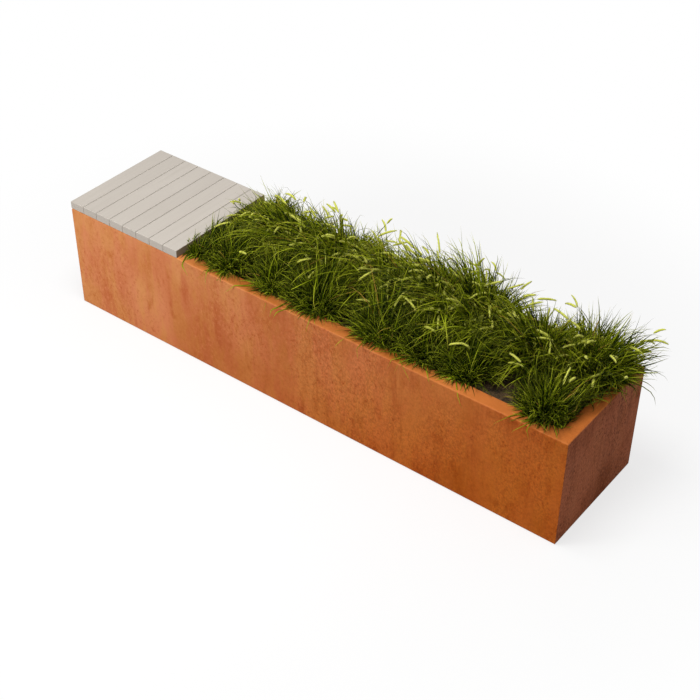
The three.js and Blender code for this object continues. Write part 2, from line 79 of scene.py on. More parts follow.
# Trough panels: four folded sheets of weathering steel, mitred at the corners. Each has its rust
# skin: a mottled orange patina with runs of darker rust down the wall and specks all over. The rust
# is paler and less saturated by the seat, which is painted sheen from the front-left light, and deeper
# towards the planted end and low down. The planted end's wall is darker below its rim: painted shade.
TROUGH_LOW, TROUGH_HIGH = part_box("front_panel")
HALF_LENGTH = TROUGH_HIGH.x
HALF_WIDTH = -TROUGH_LOW.y
RIM_TOP = TROUGH_HIGH.z
SEAT_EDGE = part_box("slat_8")[1].x

# Where the painted sheen on the rust fades along X, how far below the top the fold ends, and how far
# in the painted leaf shade on the rim lies.
SHEEN_FULL_UP_TO = -0.94
SHEEN_GONE_FROM = 1.3
DEEPER_PER_METRE_DOWN = 1.6
FOLD_TOP_DOWN = 0.0003
FOLD_FOOT_DOWN = 0.003
LEAFY_FROM = SEAT_EDGE - 0.02
LEAFY_AT = SEAT_EDGE + 0.08
BARE_SOIL_FROM = 0.6
BARE_SOIL_FADE = 0.15
LEAF_SHADE_FROM = -0.03
LEAF_SHADE_FULL_AT = 0.028
FLECK_CONTRAST = 0.2
RUST_BUMP_DEPTH = 0.001


def on_screen(red, green, blue):
    """A colour from 0 to 255 as it looks on a screen, as the linear values that a shader takes."""
    value = np.array([red, green, blue]) / 255
    linear = np.where(value <= 0.04045, value / 12.92, ((value + 0.055) / 1.055) ** 2.4)
    return (*linear.tolist(), 1.0)


def feed(tree, node, sockets):
    """Gives each of a node's sockets, by name or number, a value or a link."""
    for key, value in sockets.items():
        if isinstance(value, bpy.types.NodeSocket):
            tree.links.new(value, node.inputs[key])
        else:
            node.inputs[key].default_value = value


def add_node(tree, kind, sockets=None, **settings):
    """Adds a node with its settings, and feeds its sockets."""
    node = tree.nodes.new(kind)
    for name, value in settings.items():
        setattr(node, name, value)
    feed(tree, node, sockets or {})
    return node


def calculate(tree, operation, *values):
    """One step of arithmetic on sockets or numbers."""
    return add_node(tree, "ShaderNodeMath", dict(enumerate(values)), operation=operation).outputs[0]


def product(tree, first, *others):
    """The product of sockets or numbers."""
    for value in others:
        first = calculate(tree, "MULTIPLY", first, value)
    return first


def blend(tree, share, first, second, how="MIX"):
    """The colour between first and second at the share."""
    mix = add_node(tree, "ShaderNodeMix", {0: share, 6: first, 7: second}, data_type="RGBA", blend_type=how)
    return mix.outputs[2]


def spread(tree, value, low, high, to_low=0.0, to_high=1.0):
    """The value's range from low to high stretched smoothly over to_low to to_high, and held beyond."""
    sockets = {"Value": value, "From Min": low, "From Max": high, "To Min": to_low, "To Max": to_high}
    node = add_node(tree, "ShaderNodeMapRange", sockets, interpolation_type="SMOOTHSTEP")
    return node.outputs["Result"]


def cloudy(tree, place, per_metre, detail, stretch=(1, 1, 1), roughness=0.55):
    """Noise from 0 to 1, with so many clouds to the metre, at a place whose axes are stretched first."""
    mapping = add_node(tree, "ShaderNodeMapping", {"Vector": place, "Scale": stretch})
    sockets = {"Vector": mapping.outputs[0], "Scale": per_metre, "Detail": detail, "Roughness": roughness}
    return add_node(tree, "ShaderNodeTexNoise", sockets).outputs["Fac"]


def axes_of(tree, vector):
    """The X, Y and Z of a place or a direction."""
    return add_node(tree, "ShaderNodeSeparateXYZ", {0: vector}).outputs


def new_group(name, inputs, outputs):
    """An empty node group with named sockets, the values that it is given, and its output node. An
    input has its kind, or the number that it holds when nothing feeds it."""
    group = bpy.data.node_groups.new(name, "ShaderNodeTree")
    for socket, value in inputs.items():
        kind = value if isinstance(value, str) else "NodeSocketFloat"
        made = group.interface.new_socket(socket, in_out="INPUT", socket_type=kind)
        if kind == "NodeSocketFloat":
            made.default_value = value
    for socket, kind in outputs.items():
        group.interface.new_socket(socket, in_out="OUTPUT", socket_type=kind)
    return group, group.nodes.new("NodeGroupInput").outputs, group.nodes.new("NodeGroupOutput")


def new_material(name):
    """An empty material with its Principled shader, its node tree and its Object coordinates."""
    material = bpy.data.materials.new(name)
    material.use_nodes = True
    tree = material.node_tree
    shader = tree.nodes["Principled BSDF"]
    place = add_node(tree, "ShaderNodeTexCoord").outputs["Object"]
    return material, tree, shader, place


def embossed(tree, height, strength, depth):
    """Normals that are bent as if the height, from 0 to 1, rose by the depth."""
    sockets = {"Height": height, "Strength": strength, "Distance": depth}
    return add_node(tree, "ShaderNodeBump", sockets).outputs[0]


def finish_with(material, *names):
    """Gives CAD nodes a material in place of the one that they came with."""
    for name in names:
        nodes[name].data.materials.clear()
        nodes[name].data.materials.append(material)


def further_from_seat(tree, place):
    """From 0 at the seat's end of the walls to 1 near the planted end, and sooner low down."""
    axes = axes_of(tree, place)
    down = product(tree, calculate(tree, "SUBTRACT", RIM_TOP, axes["Z"]), DEEPER_PER_METRE_DOWN)
    return spread(tree, calculate(tree, "ADD", axes["X"], down), SHEEN_FULL_UP_TO, SHEEN_GONE_FROM)


def below_rim(tree, place):
    """From 0 on the rim to 1 on the wall below its fold."""
    return spread(tree, axes_of(tree, place)["Z"], RIM_TOP - FOLD_TOP_DOWN, RIM_TOP - FOLD_FOOT_DOWN)


def beside_planting(tree, place):
    """From 0 beside the seat to 1 beside the leaves, in patches, and low again from the bare soil on."""
    along = axes_of(tree, place)["X"]
    planted = spread(tree, along, LEAFY_FROM, LEAFY_AT)
    patchy = spread(tree, cloudy(tree, place, 9, 2), 0.3, 0.6, 0.6, 1.0)
    leafy = spread(tree, along, BARE_SOIL_FROM - BARE_SOIL_FADE, BARE_SOIL_FROM, 1.0, 0.15)
    return product(tree, planted, patchy, leafy)


RED_TINT = (0.975, 0.905, 1.0, 1.0)
GOLD_TINT = (0.98, 1.05, 0.935, 1.0)
# Painted highlight: a pale line along the outer top folds, where the rounded edge catches the light.
PAINTED_EDGE_HIGHLIGHT = on_screen(232, 164, 118)
# Painted highlight: brighter tones on the rim's top face, standing in for more light falling on it.
RIM_HIGHLIGHT_BY_SEAT = on_screen(216, 132, 66)
RIM_HIGHLIGHT_BY_PLANTING = on_screen(203, 117, 56)
# Painted shade: dark saturated orange on the rim where leaves lie over it, standing in for their shade.
PAINTED_LEAF_SHADE = on_screen(152, 84, 10)
# Painted sheen: the paler, less saturated tones by the seat stand in for the front-left light on that end.
SEAT_END_SHEEN_RUST = [on_screen(222, 148, 98), on_screen(208, 128, 76), on_screen(190, 96, 48)]
PLANTED_END_RUST = [on_screen(190, 100, 32), on_screen(168, 79, 11), on_screen(140, 54, 3)]
# Painted shade: darker tones for the planted end's wall below its rim, which faces away from the lamps.
SHADED_RUST = [on_screen(177, 103, 69), on_screen(130, 66, 34), on_screen(92, 44, 22)]


def rust_skin_group():
    """Patina in layers: cloudy mottling of two tones, soft vertical runs, reddish blotches, dark and
    pale specks of a few millimetres, which are strongest about the middle of the trough, fine flecks
    that darken or lighten, tall streaks that turn to red or to gold, and a height that follows the
    blotches and the specks."""
    group, given, out = new_group(
        "rust_skin",
        {
            "Place": "NodeSocketVector",
            "Pale": "NodeSocketColor",
            "Main": "NodeSocketColor",
            "Deep": "NodeSocketColor",
            "Runs": 0.5,
            "Blotches": 0.5,
            "Specks": 0.5,
            "Hues": 1.0,
        },
        {"Colour": "NodeSocketColor", "Roughness": "NodeSocketFloat", "Height": "NodeSocketFloat"},
    )
    place = given["Place"]
    along = axes_of(group, place)["X"]
    mottling = spread(group, cloudy(group, place, 3.2, 3, (1, 1, 0.7)), 0.36, 0.64)
    colour = blend(group, mottling, given["Main"], given["Pale"])

    runs = spread(group, cloudy(group, place, 26, 4, (1, 1, 0.09), 0.65), 0.45, 0.7)
    fade = spread(group, cloudy(group, place, 4.5, 2), 0.35, 0.6)
    colour = blend(group, product(group, runs, fade, given["Runs"]), colour, given["Deep"])
    patches = cloudy(group, place, 17, 8, (1, 1, 0.55), 0.72)
    blotches = product(group, spread(group, patches, 0.52, 0.72), given["Blotches"])
    colour = blend(group, blotches, colour, given["Deep"])

    grit = cloudy(group, place, 100, 3, (1, 1, 0.8), 0.75)
    gathered = spread(group, cloudy(group, place, 5, 3, (1, 1, 0.6)), 0.42, 0.62, 0.4, 1.0)
    central = spread(group, calculate(group, "ABSOLUTE", along), 0.5, 0.1, 0.95, 1.2)
    speck_share = product(group, central, gathered, given["Specks"])
    dark_specks = product(group, spread(group, grit, 0.5, 0.78), speck_share)
    pale_specks = product(group, spread(group, grit, 0.5, 0.28), speck_share)
    colour = blend(group, dark_specks, colour, given["Deep"])
    colour = blend(group, pale_specks, colour, given["Pale"])
    fleck_noise = cloudy(group, place, 150, 2, (1, 1, 0.7), 0.7)
    fleck = spread(group, fleck_noise, 0.3, 0.7, 1.0 + FLECK_CONTRAST, 1.0 - FLECK_CONTRAST)
    fleck_share = product(group, speck_share, spread(group, along, -0.5, 0.6, 0.05, 0.95))
    colour = blend(group, fleck_share, colour, fleck, "MULTIPLY")

    hue = spread(group, cloudy(group, place, 12, 6, (1, 1, 0.3), 0.7), 0.4, 0.6)
    tint_share = product(group, spread(group, along, -0.1, 0.6, 1.0, 0.5), given["Hues"])
    tint = blend(group, hue, RED_TINT, GOLD_TINT)
    colour = blend(group, tint_share, colour, tint, "MULTIPLY")
    roughness = spread(group, patches, 0.3, 0.7, 0.72, 0.92)
    height = calculate(group, "ADD", patches, product(group, grit, 0.05))
    feed(group, out, {"Colour": colour, "Roughness": roughness, "Height": height})
    return group


def top_edge_nearness_group():
    """How near a place is to the trough's outer top edges: Mask is 1 on a fold line and 0 where the
    distance from it is over Reach, and Inward is the level distance from the outer faces."""
    group, given, out = new_group(
        "top_edge_nearness",
        {
            "Place": "NodeSocketVector",
            "Reach": 0.006,
            "Half Length": 1.0,
            "Half Width": 0.225,
            "Top": 0.4,
        },
        {"Mask": "NodeSocketFloat", "Inward": "NodeSocketFloat"},
    )
    axes = axes_of(group, given["Place"])
    along = calculate(group, "SUBTRACT", given["Half Length"], calculate(group, "ABSOLUTE", axes["X"]))
    across = calculate(group, "SUBTRACT", given["Half Width"], calculate(group, "ABSOLUTE", axes["Y"]))
    down = calculate(group, "SUBTRACT", given["Top"], axes["Z"])
    inward = calculate(group, "MINIMUM", along, across)
    distance = calculate(group, "MAXIMUM", inward, down)
    ragged = product(group, cloudy(group, given["Place"], 60, 3), given["Reach"])
    share = calculate(group, "SUBTRACT", 1.0, calculate(group, "DIVIDE", distance, ragged))
    share.node.use_clamp = True
    feed(group, out, {"Mask": share, "Inward": inward})
    return group


rust_skin = rust_skin_group()
top_edge_nearness = top_edge_nearness_group()


def weathering_steel(name, tones, masked_tones, tone_mask, marks, edge_highlight_share=0.0, rim_highlight_share=0.0):
    """Rusted sheet: the rust skin with its marks, in three tones, pale, main and deep, which pass
    into the masked tones where the mask that tone_mask makes is 1, a painted highlight along the outer
    top folds, and a painted highlight on the rim's top face, with painted shade where leaves lie over it."""
    material, tree, shader, place = new_material(name)
    mask = tone_mask(tree, place)
    pale, main, deep = [blend(tree, mask, new, old) for new, old in zip(tones, masked_tones)]
    tone_sockets = {"Place": place, "Pale": pale, "Main": main, "Deep": deep}
    skin = add_node(tree, "ShaderNodeGroup", tone_sockets | marks, node_tree=rust_skin).outputs
    faces = {"Place": place, "Half Length": HALF_LENGTH, "Half Width": HALF_WIDTH, "Top": RIM_TOP}
    near_edge = add_node(tree, "ShaderNodeGroup", faces, node_tree=top_edge_nearness).outputs
    # Painted highlight along the outer top folds.
    colour = blend(tree, product(tree, near_edge["Mask"], edge_highlight_share), skin["Colour"], PAINTED_EDGE_HIGHLIGHT)
    rim_highlight = blend(tree, further_from_seat(tree, place), RIM_HIGHLIGHT_BY_SEAT, RIM_HIGHLIGHT_BY_PLANTING)
    # Painted leaf shade on the rim, stronger towards its inner edge and beside the leaves.
    leaf_shade_inward = spread(tree, near_edge["Inward"], LEAF_SHADE_FROM, LEAF_SHADE_FULL_AT)
    leaf_shade_share = product(tree, leaf_shade_inward, beside_planting(tree, place))
    rim_highlight = blend(tree, leaf_shade_share, rim_highlight, PAINTED_LEAF_SHADE)
    # Painted highlight on the rim's top face.
    on_rim = calculate(tree, "SUBTRACT", 1.0, below_rim(tree, place))
    colour = blend(tree, product(tree, on_rim, rim_highlight_share), colour, rim_highlight)
    normal = embossed(tree, skin["Height"], 0.15, RUST_BUMP_DEPTH)
    feed(tree, shader, {"Base Color": colour, "Roughness": skin["Roughness"], "Normal": normal})
    feed(tree, shader, {"Specular IOR Level": 0.1})
    return material


WALL_MARKS = {"Runs": 0.5, "Blotches": 0.6, "Specks": 1.0, "Hues": 1.0}
END_MARKS = {"Runs": 0.45, "Blotches": 0.5, "Specks": 2.4, "Hues": 0.4}
wall_steel = weathering_steel("wall_steel", SEAT_END_SHEEN_RUST, PLANTED_END_RUST, further_from_seat, WALL_MARKS, 0.35, 0.7)
# The planted end's wall takes the darker tones below its rim: painted shade.
shaded_end_steel = weathering_steel("shaded_end_steel", PLANTED_END_RUST, SHADED_RUST, below_rim, END_MARKS, 0.3, 0.7)
finish_with(wall_steel, "front_panel", "back_panel", "seat_end_panel")
finish_with(shaded_end_steel, "planting_end_panel")

# Base, bulkhead and tie bars: the same steel where rain seldom reaches it. The plate and the
# runners stand in the splash zone and the bars in damp soil, so they are browner and less streaked.
DAMP_RUST = [on_screen(150, 92, 62), on_screen(116, 66, 42), on_screen(74, 42, 30)]
WET_RUST = [on_screen(120, 74, 52), on_screen(88, 52, 38), on_screen(56, 34, 28)]
DAMP_MARKS = {"Runs": 0.1, "Blotches": 0.7, "Specks": 0.7, "Hues": 0.5}
RUNNERS = [name for name in nodes if name.startswith("base_runner_")]
TIE_BARS = [name for name in nodes if name.startswith("tie_bar_")]
damp_steel = weathering_steel("damp_steel", DAMP_RUST, WET_RUST, below_rim, DAMP_MARKS)
finish_with(damp_steel, "base_plate", "bulkhead", *RUNNERS, *TIE_BARS)

# Drainage layer: washed gravel, tipped over the base plate before the soil goes in, so that water
# runs off to the drain holes. It shows only through them.
PEBBLE_SIZE = 0.012
PEBBLE_BUMP_DEPTH = 0.004


def washed_gravel():
    """Pebbles as rounded cells, each of its own grey or buff, with dark gaps between them."""
    material, tree, shader, place = new_material("washed_gravel")
    cells = {"Vector": place, "Scale": 1 / PEBBLE_SIZE}
    pebble = add_node(tree, "ShaderNodeTexVoronoi", cells)
    gap = add_node(tree, "ShaderNodeTexVoronoi", cells, feature="DISTANCE_TO_EDGE")
    tone = add_node(tree, "ShaderNodeSeparateColor", {0: pebble.outputs["Color"]}).outputs[0]
    stone = blend(tree, tone, on_screen(112, 104, 94), on_screen(178, 166, 146))
    crown = spread(tree, gap.outputs["Distance"], 0.0, 0.25)
    colour = blend(tree, crown, on_screen(44, 38, 32), stone)
    roughness = spread(tree, tone, 0, 1, 0.6, 0.9)
    normal = embossed(tree, crown, 0.9, PEBBLE_BUMP_DEPTH)
    feed(tree, shader, {"Base Color": colour, "Roughness": roughness, "Normal": normal})
    return material


finish_with(washed_gravel(), "drainage_layer")

# Soil: dark planting compost, filled in round the root balls to just under the lips. Crumbs and
# bits of bark lie loose on it.
BED_LOW, BED_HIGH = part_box("soil")
RIM_WIDTH = 0.05
COMPOST_BUMP_DEPTH = 0.005
COMPOST_DARK = on_screen(46, 33, 18)
COMPOST_PALE = on_screen(112, 88, 58)
BARK_FIBRE = on_screen(160, 126, 80)
CRUMB_COUNT = 2600
CRUMB_SMALLEST = 0.0016
CRUMB_LARGEST = 0.0075
CRUMB_END_INSET = 0.01
CRUMB_DROP_FROM = 0.01
CRUMB_DROP = 0.03
CRUMB_SEED = 41
NEIGHBOUR_GAP = 1.2


def planting_compost():
    """Compost: dark brown grains of two sizes, with a few paler fibres."""
    material, tree, shader, place = new_material("planting_compost")
    lumps = cloudy(tree, place, 55, 6, roughness=0.7)
    grains = cloudy(tree, place, 420, 4, roughness=0.7)
    colour = blend(tree, spread(tree, lumps, 0.35, 0.65), COMPOST_DARK, COMPOST_PALE)
    fibres = spread(tree, cloudy(tree, place, 300, 2, (1, 0.12, 1)), 0.66, 0.74)
    colour = blend(tree, product(tree, fibres, 0.6), colour, BARK_FIBRE)
    roughness = spread(tree, grains, 0.3, 0.7, 0.8, 1.0)
    height = calculate(tree, "ADD", lumps, product(tree, grains, 0.4))
    normal = embossed(tree, height, 0.9, COMPOST_BUMP_DEPTH)
    feed(tree, shader, {"Base Color": colour, "Roughness": roughness, "Normal": normal})
    return material


def mesh_piece(name, points, quads, triangles, materials, material_of_face=None, values=None, smooth=True):
    """A piece from arrays of points and faces, four-sided faces first. values gives point attributes."""
    mesh = bpy.data.meshes.new(name)
    corners = np.concatenate([np.ravel(quads), np.ravel(triangles)]).astype(np.int32)
    starts = np.concatenate([4 * np.arange(len(quads)), 4 * len(quads) + 3 * np.arange(len(triangles))])
    mesh.vertices.add(len(points))
    mesh.vertices.foreach_set("co", points.astype(np.float32).ravel())
    mesh.loops.add(len(corners))
    mesh.polygons.add(len(starts))
    mesh.polygons.foreach_set("loop_start", starts.astype(np.int32))
    mesh.polygons.foreach_set("vertices", corners)
    mesh.polygons.foreach_set("use_smooth", np.full(len(starts), smooth))
    for material in materials:
        mesh.materials.append(material)
    if material_of_face is not None:
        mesh.polygons.foreach_set("material_index", material_of_face.astype(np.int32))
    for attribute, value in (values or {}).items():
        mesh.attributes.new(attribute, "FLOAT", "POINT").data.foreach_set("value", value.astype(np.float32))
    mesh.update(calc_edges=True)
    piece = bpy.data.objects.new(name, mesh)
    bpy.context.scene.collection.objects.link(piece)
    return piece


def icosahedron():
    """Twelve corners at radius 1, which are those of three crossed golden rectangles, and its twenty
    faces: the triples of corners that are all neighbours, each turned to face outwards."""
    golden = (1 + math.sqrt(5)) / 2
    rectangle = np.array([(a, b * golden, 0) for a in (-1, 1) for b in (-1, 1)])
    crossed = [np.roll(rectangle, step, axis=1) for step in range(3)]
    corners = np.concatenate(crossed) / math.hypot(1, golden)
    gaps = np.linalg.norm(corners[:, None] - corners[None], axis=2)
    neighbours = gaps < NEIGHBOUR_GAP
    faces = []
    for i, j, k in combinations(range(len(corners)), 3):
        if neighbours[i, j] and neighbours[j, k] and neighbours[i, k]:
            normal = np.cross(corners[j] - corners[i], corners[k] - corners[i])
            faces.append((i, j, k) if np.dot(normal, corners[i]) > 0 else (i, k, j))
    return corners, np.array(faces)


def soil_crumbs():
    """Crumbs as icosahedra whose corners are pulled in by random shares. Each is flattened, turned
    about Z and laid on the soil's own surface, with its middle a third of its size above it."""
    rng = np.random.default_rng(CRUMB_SEED)
    corners, faces = icosahedron()
    x = rng.uniform(BED_LOW.x + CRUMB_END_INSET, BED_HIGH.x - CRUMB_END_INSET, CRUMB_COUNT)
    y = rng.uniform(BED_LOW.y + RIM_WIDTH, BED_HIGH.y - RIM_WIDTH, CRUMB_COUNT)
    size = CRUMB_SMALLEST + (CRUMB_LARGEST - CRUMB_SMALLEST) * rng.random(CRUMB_COUNT) ** 3
    bed = nodes["soil"].data
    surface = BVHTree.FromPolygons([v.co for v in bed.vertices], [p.vertices for p in bed.polygons])
    above = BED_HIGH.z + CRUMB_DROP_FROM
    down = Vector((0, 0, -1))
    hits = [surface.ray_cast(Vector((a, b, above)), down, CRUMB_DROP)[0] for a, b in zip(x, y)]
    found = np.array([hit is not None for hit in hits])
    z = np.array([hit.z for hit in hits if hit is not None])
    x, y, size = x[found], y[found], size[found]
    count = len(x)
    turn = rng.uniform(0, 2 * np.pi, count)[:, None]
    pull = rng.uniform(0.65, 1.1, (count, len(corners), 1))
    flat = np.stack([np.ones(count), rng.uniform(0.6, 1, count), rng.uniform(0.45, 0.8, count)], 1)
    local = corners[None] * pull * flat[:, None] * size[:, None, None]
    turned_x = local[..., 0] * np.cos(turn) - local[..., 1] * np.sin(turn) + x[:, None]
    turned_y = local[..., 0] * np.sin(turn) + local[..., 1] * np.cos(turn) + y[:, None]
    raised_z = local[..., 2] + (z + size / 3)[:, None]
    points = np.stack([turned_x, turned_y, raised_z], 2).reshape(-1, 3)
    triangles = faces[None] + len(corners) * np.arange(count)[:, None, None]
    no_quads = np.zeros((0, 4))
    return mesh_piece("soil_crumbs", points, no_quads, triangles.reshape(-1, 3), [compost], smooth=False)


compost = planting_compost()
finish_with(compost, "soil")
crumbs = soil_crumbs()
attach(crumbs, "root")

# Seat slats: eight planed boards across the trough with eased edges. The timber has weathered to an
# even silver-beige, with faint straight grain along each board and its own shade in each.
SLATS = [name for name in nodes if name.startswith("slat_") and "screw" not in name]
SLAT_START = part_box("slat_1")[0].x
SLAT_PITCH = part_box("slat_2")[0].x - SLAT_START
SLAT_SLACK = 0.001
GRAIN_SHIFT = 3.7
GRAIN_BUMP_DEPTH = 0.0006
TIMBER_PALE = on_screen(196, 188, 178)
TIMBER_MAIN = on_screen(192, 184, 174)
TIMBER_GRAIN = on_screen(169, 160, 149)
# Painted shade: a darker brown on the last board's side that looks on the planting, where the grasses shade
# it.
TIMBER_SIDE_SHADE = on_screen(122, 100, 70)


def greyed_timber():
    """Weathered board: a tone of its own for each board, long soft grain along Y, fine pores, darker end
    grain where the face looks along Y, painted shade on the last board's side that looks on the planting,
    and a bump along the grain. The grain is read from a place of its own for each board, by its number."""
    material, tree, shader, place = new_material("greyed_timber")
    along = axes_of(tree, place)["X"]
    from_start = calculate(tree, "SUBTRACT", along, SLAT_START - SLAT_SLACK)
    number = calculate(tree, "FLOOR", calculate(tree, "DIVIDE", from_start, SLAT_PITCH))
    shade = add_node(tree, "ShaderNodeTexWhiteNoise", {"W": number}, noise_dimensions="1D").outputs["Value"]
    shift = add_node(tree, "ShaderNodeCombineXYZ", {0: number, 1: product(tree, number, GRAIN_SHIFT)})
    moved = add_node(tree, "ShaderNodeVectorMath", {0: place, 1: shift.outputs[0]}, operation="ADD")
    grain = cloudy(tree, moved.outputs[0], 95, 5, (1, 0.035, 1), 0.6)
    pores = cloudy(tree, moved.outputs[0], 620, 3, (1, 0.03, 1), 0.6)
    weather = cloudy(tree, place, 5, 3, (1, 0.5, 1))
    colour = blend(tree, shade, TIMBER_MAIN, TIMBER_PALE)
    colour = blend(tree, spread(tree, grain, 0.45, 0.75, 0.0, 0.17), colour, TIMBER_GRAIN)
    colour = blend(tree, spread(tree, pores, 0.56, 0.78, 0.0, 0.1), colour, TIMBER_GRAIN)
    colour = blend(tree, spread(tree, weather, 0.4, 0.7, 0.0, 0.12), colour, TIMBER_GRAIN)

    facing = axes_of(tree, add_node(tree, "ShaderNodeNewGeometry").outputs["True Normal"])
    end_share = product(tree, calculate(tree, "ABSOLUTE", facing["Y"]), 0.3)
    colour = blend(tree, end_share, colour, TIMBER_GRAIN)
    # Painted shade on the last board's side towards the planting.
    to_planting = spread(tree, facing["X"], 0.3, 0.9, 0.0, 0.85)
    by_planting = spread(tree, along, SEAT_EDGE - 2 * SLAT_SLACK, SEAT_EDGE - SLAT_SLACK)
    colour = blend(tree, product(tree, to_planting, by_planting), colour, TIMBER_SIDE_SHADE)
    roughness = spread(tree, grain, 0.3, 0.7, 0.6, 0.8)
    height = calculate(tree, "ADD", grain, product(tree, pores, 0.6))
    normal = embossed(tree, height, 0.3, GRAIN_BUMP_DEPTH)
    feed(tree, shader, {"Base Color": colour, "Roughness": roughness, "Normal": normal})
    feed(tree, shader, {"Specular IOR Level": 0.3})
    return material


finish_with(greyed_timber(), *SLATS)

# Seat bearers: two angles of hot-dip galvanised steel, cut to the length of the seat and bolted along
# the lips of the long walls, under the slats.
SPANGLE_SIZE = 0.009
BEARERS = [name for name in nodes if name.startswith("seat_bearer_")]


def galvanised_steel():
    """Zinc: crystal spangles, each of its own grey, under a faint dull bloom."""
    material, tree, shader, place = new_material("galvanised_steel")
    spangle = add_node(tree, "ShaderNodeTexVoronoi", {"Vector": place, "Scale": 1 / SPANGLE_SIZE})
    tone = add_node(tree, "ShaderNodeSeparateColor", {0: spangle.outputs["Color"]}).outputs[0]
    colour = blend(tree, tone, on_screen(150, 154, 156), on_screen(188, 191, 192))
    bloom = spread(tree, cloudy(tree, place, 14, 5), 0.45, 0.7, 0.0, 0.5)
    colour = blend(tree, bloom, colour, on_screen(205, 206, 202))
    roughness = spread(tree, tone, 0, 1, 0.35, 0.6)
    feed(tree, shader, {"Base Color": colour, "Roughness": roughness, "Metallic": 0.9})
    return material


finish_with(galvanised_steel(), *BEARERS)

# Screws and bolts: turned stainless steel. The screws hold each slat to both bearers from below, and
# the bolts hold the bearers to the lips.
FASTENERS = [name for name in nodes if name.startswith(("slat_screw_", "bearer_bolt_"))]


def turned_stainless():
    """Bright steel with fine upright scratches, which are duller where they are pale."""
    material, tree, shader, place = new_material("turned_stainless")
    scratches = cloudy(tree, place, 1400, 3, (1, 1, 0.05))
    colour = blend(tree, scratches, on_screen(178, 178, 174), on_screen(214, 214, 210))
    roughness = spread(tree, scratches, 0.3, 0.7, 0.18, 0.38)
    feed(tree, shader, {"Base Color": colour, "Roughness": roughness, "Metallic": 1.0})
    return material


finish_with(turned_stainless(), *FASTENERS)

# Grasses: fifteen fountain grasses in two staggered rows. Each has a main crown and a few side
# shoots, from which hundreds of keeled blades rise, twist and arch over soil, rim and end, and
# bristly flower spikes nod just above them. The front crowns stand close to the rim.

# For each plant: the length of its blades, its number of flower spikes, the share by which they
# stand higher than the row's, and how far its crown is shifted from the middle of its root ball.
GRASSES = {
    "grass_back_1": (0.111, 12, 1.45, (0.015, 0.0)),
    "grass_back_2": (0.194, 22, 1.0, (0.0, 0.0)),
    "grass_back_3": (0.214, 36, 1.0, (0.0, 0.0)),
    "grass_back_4": (0.19, 52, 0.95, (0.0, 0.0)),
    "grass_back_5": (0.234, 56, 1.02, (0.0, 0.0)),
    "grass_back_6": (0.242, 34, 0.9, (-0.022, 0.0)),
    "grass_back_7": (0.204, 13, 0.8, (0.0, 0.0)),
    "grass_back_8": (0.202, 24, 1.1, (-0.03, 0.0)),
    "grass_front_1": (0.11, 2, 1.0, (-0.012, -0.022)),
    "grass_front_2": (0.128, 4, 1.0, (0.003, -0.02)),
    "grass_front_3": (0.144, 6, 1.0, (-0.014, -0.026)),
    "grass_front_4": (0.148, 9, 1.0, (0.045, -0.018)),
    "grass_front_5": (0.142, 10, 1.0, (0.014, -0.015)),
    "grass_front_6": (0.128, 3, 1.0, (-0.03, -0.013)),
    "grass_front_7": (0.135, 5, 1.0, (0.052, -0.018)),
}
ROW_SEED = {"back": 7, "front": 53}
# Painted shade: the front row's blades take darker tones than the back row's, standing in for shade on
# them.
ROW_SHADED_TONE_SHARE = {"back": 1.0, "front": 0.76}
ROW_INWARD = {"back": -math.pi / 2, "front": math.pi / 2}
LONGER_INWARD_SHARE = 0.45

# Side shoots that stand apart from a plant's crown: how far along X and Y, and their size's share.
FAR_SHOOTS = {
    "grass_back_1": [(-0.045, -0.08, 0.75), (-0.04, -0.01, 0.85), (0.01, 0.05, 1.0)],
    "grass_back_7": [(0.03, -0.07, 0.7)],
    "grass_back_8": [
        (-0.07, -0.06, 0.7),
        (-0.04, -0.075, 0.6),
        (-0.05, 0.03, 0.9),
        (0.06, 0.0, 0.65),
        (0.06, 0.05, 0.7),
    ],
    "grass_front_1": [(-0.125, -0.04, 0.7), (-0.12, 0.04, 0.8), (-0.065, 0.03, 0.8)],
}

# Plants whose blades are longer towards another side than inwards: its azimuth, and by what share.
LONGER_TOWARDS = {
    "grass_back_1": (0.0, 0.35),
    "grass_back_6": (-2.3, 0.3),
    "grass_back_8": (-0.5, 0.15),
    "grass_front_1": (0.9, 0.4),
    "grass_front_7": (0.9, 0.3),
}

# The mean level of the rippled soil, and the top of the seat.
SOIL_RIPPLE = 0.003
SOIL_TOP = BED_HIGH.z - SOIL_RIPPLE
SEAT_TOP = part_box("slat_8")[1].z

# Where crowns may stand: off the bare patch of soil in front and clear of the lips.
BARE_PATCH_LOW = (0.62, -0.2)
BARE_PATCH_HIGH = (0.79, -0.1)
CROWN_RADIUS = 0.044
CROWN_CLEARANCE = 0.008
MAIN_CROWN_SHARE = 0.5
SHOOT_COUNT = 4
SHOOT_SPREAD = 0.036
SHOOT_SIZE_SHARE = 0.7

# How far blades and stalks reach past the end, the seat's edge, the sides and the top of the leaves.
END_ROOM = 0.155
END_ROOM_LEAST_SHARE = 0.12
HANG_GROWS_OVER = (-0.1, 0.1)
SEAT_ROOM = 0.03
SIDE_ROOM = 0.024
LEAF_TOP = 0.6
TOP_ROOM = 0.03

# How far the middle of a blade stays from what it lies on, and the slack in finding what that is.
LEAF_ON_SOIL = 0.002
LEAF_ON_RIM = 0.0025
LEAF_ON_SEAT = 0.003
LEAF_BY_SEAT = 0.004
FACE_SLACK = 0.001
LIP_SLACK = 0.002
SEAT_SLACK = 0.012


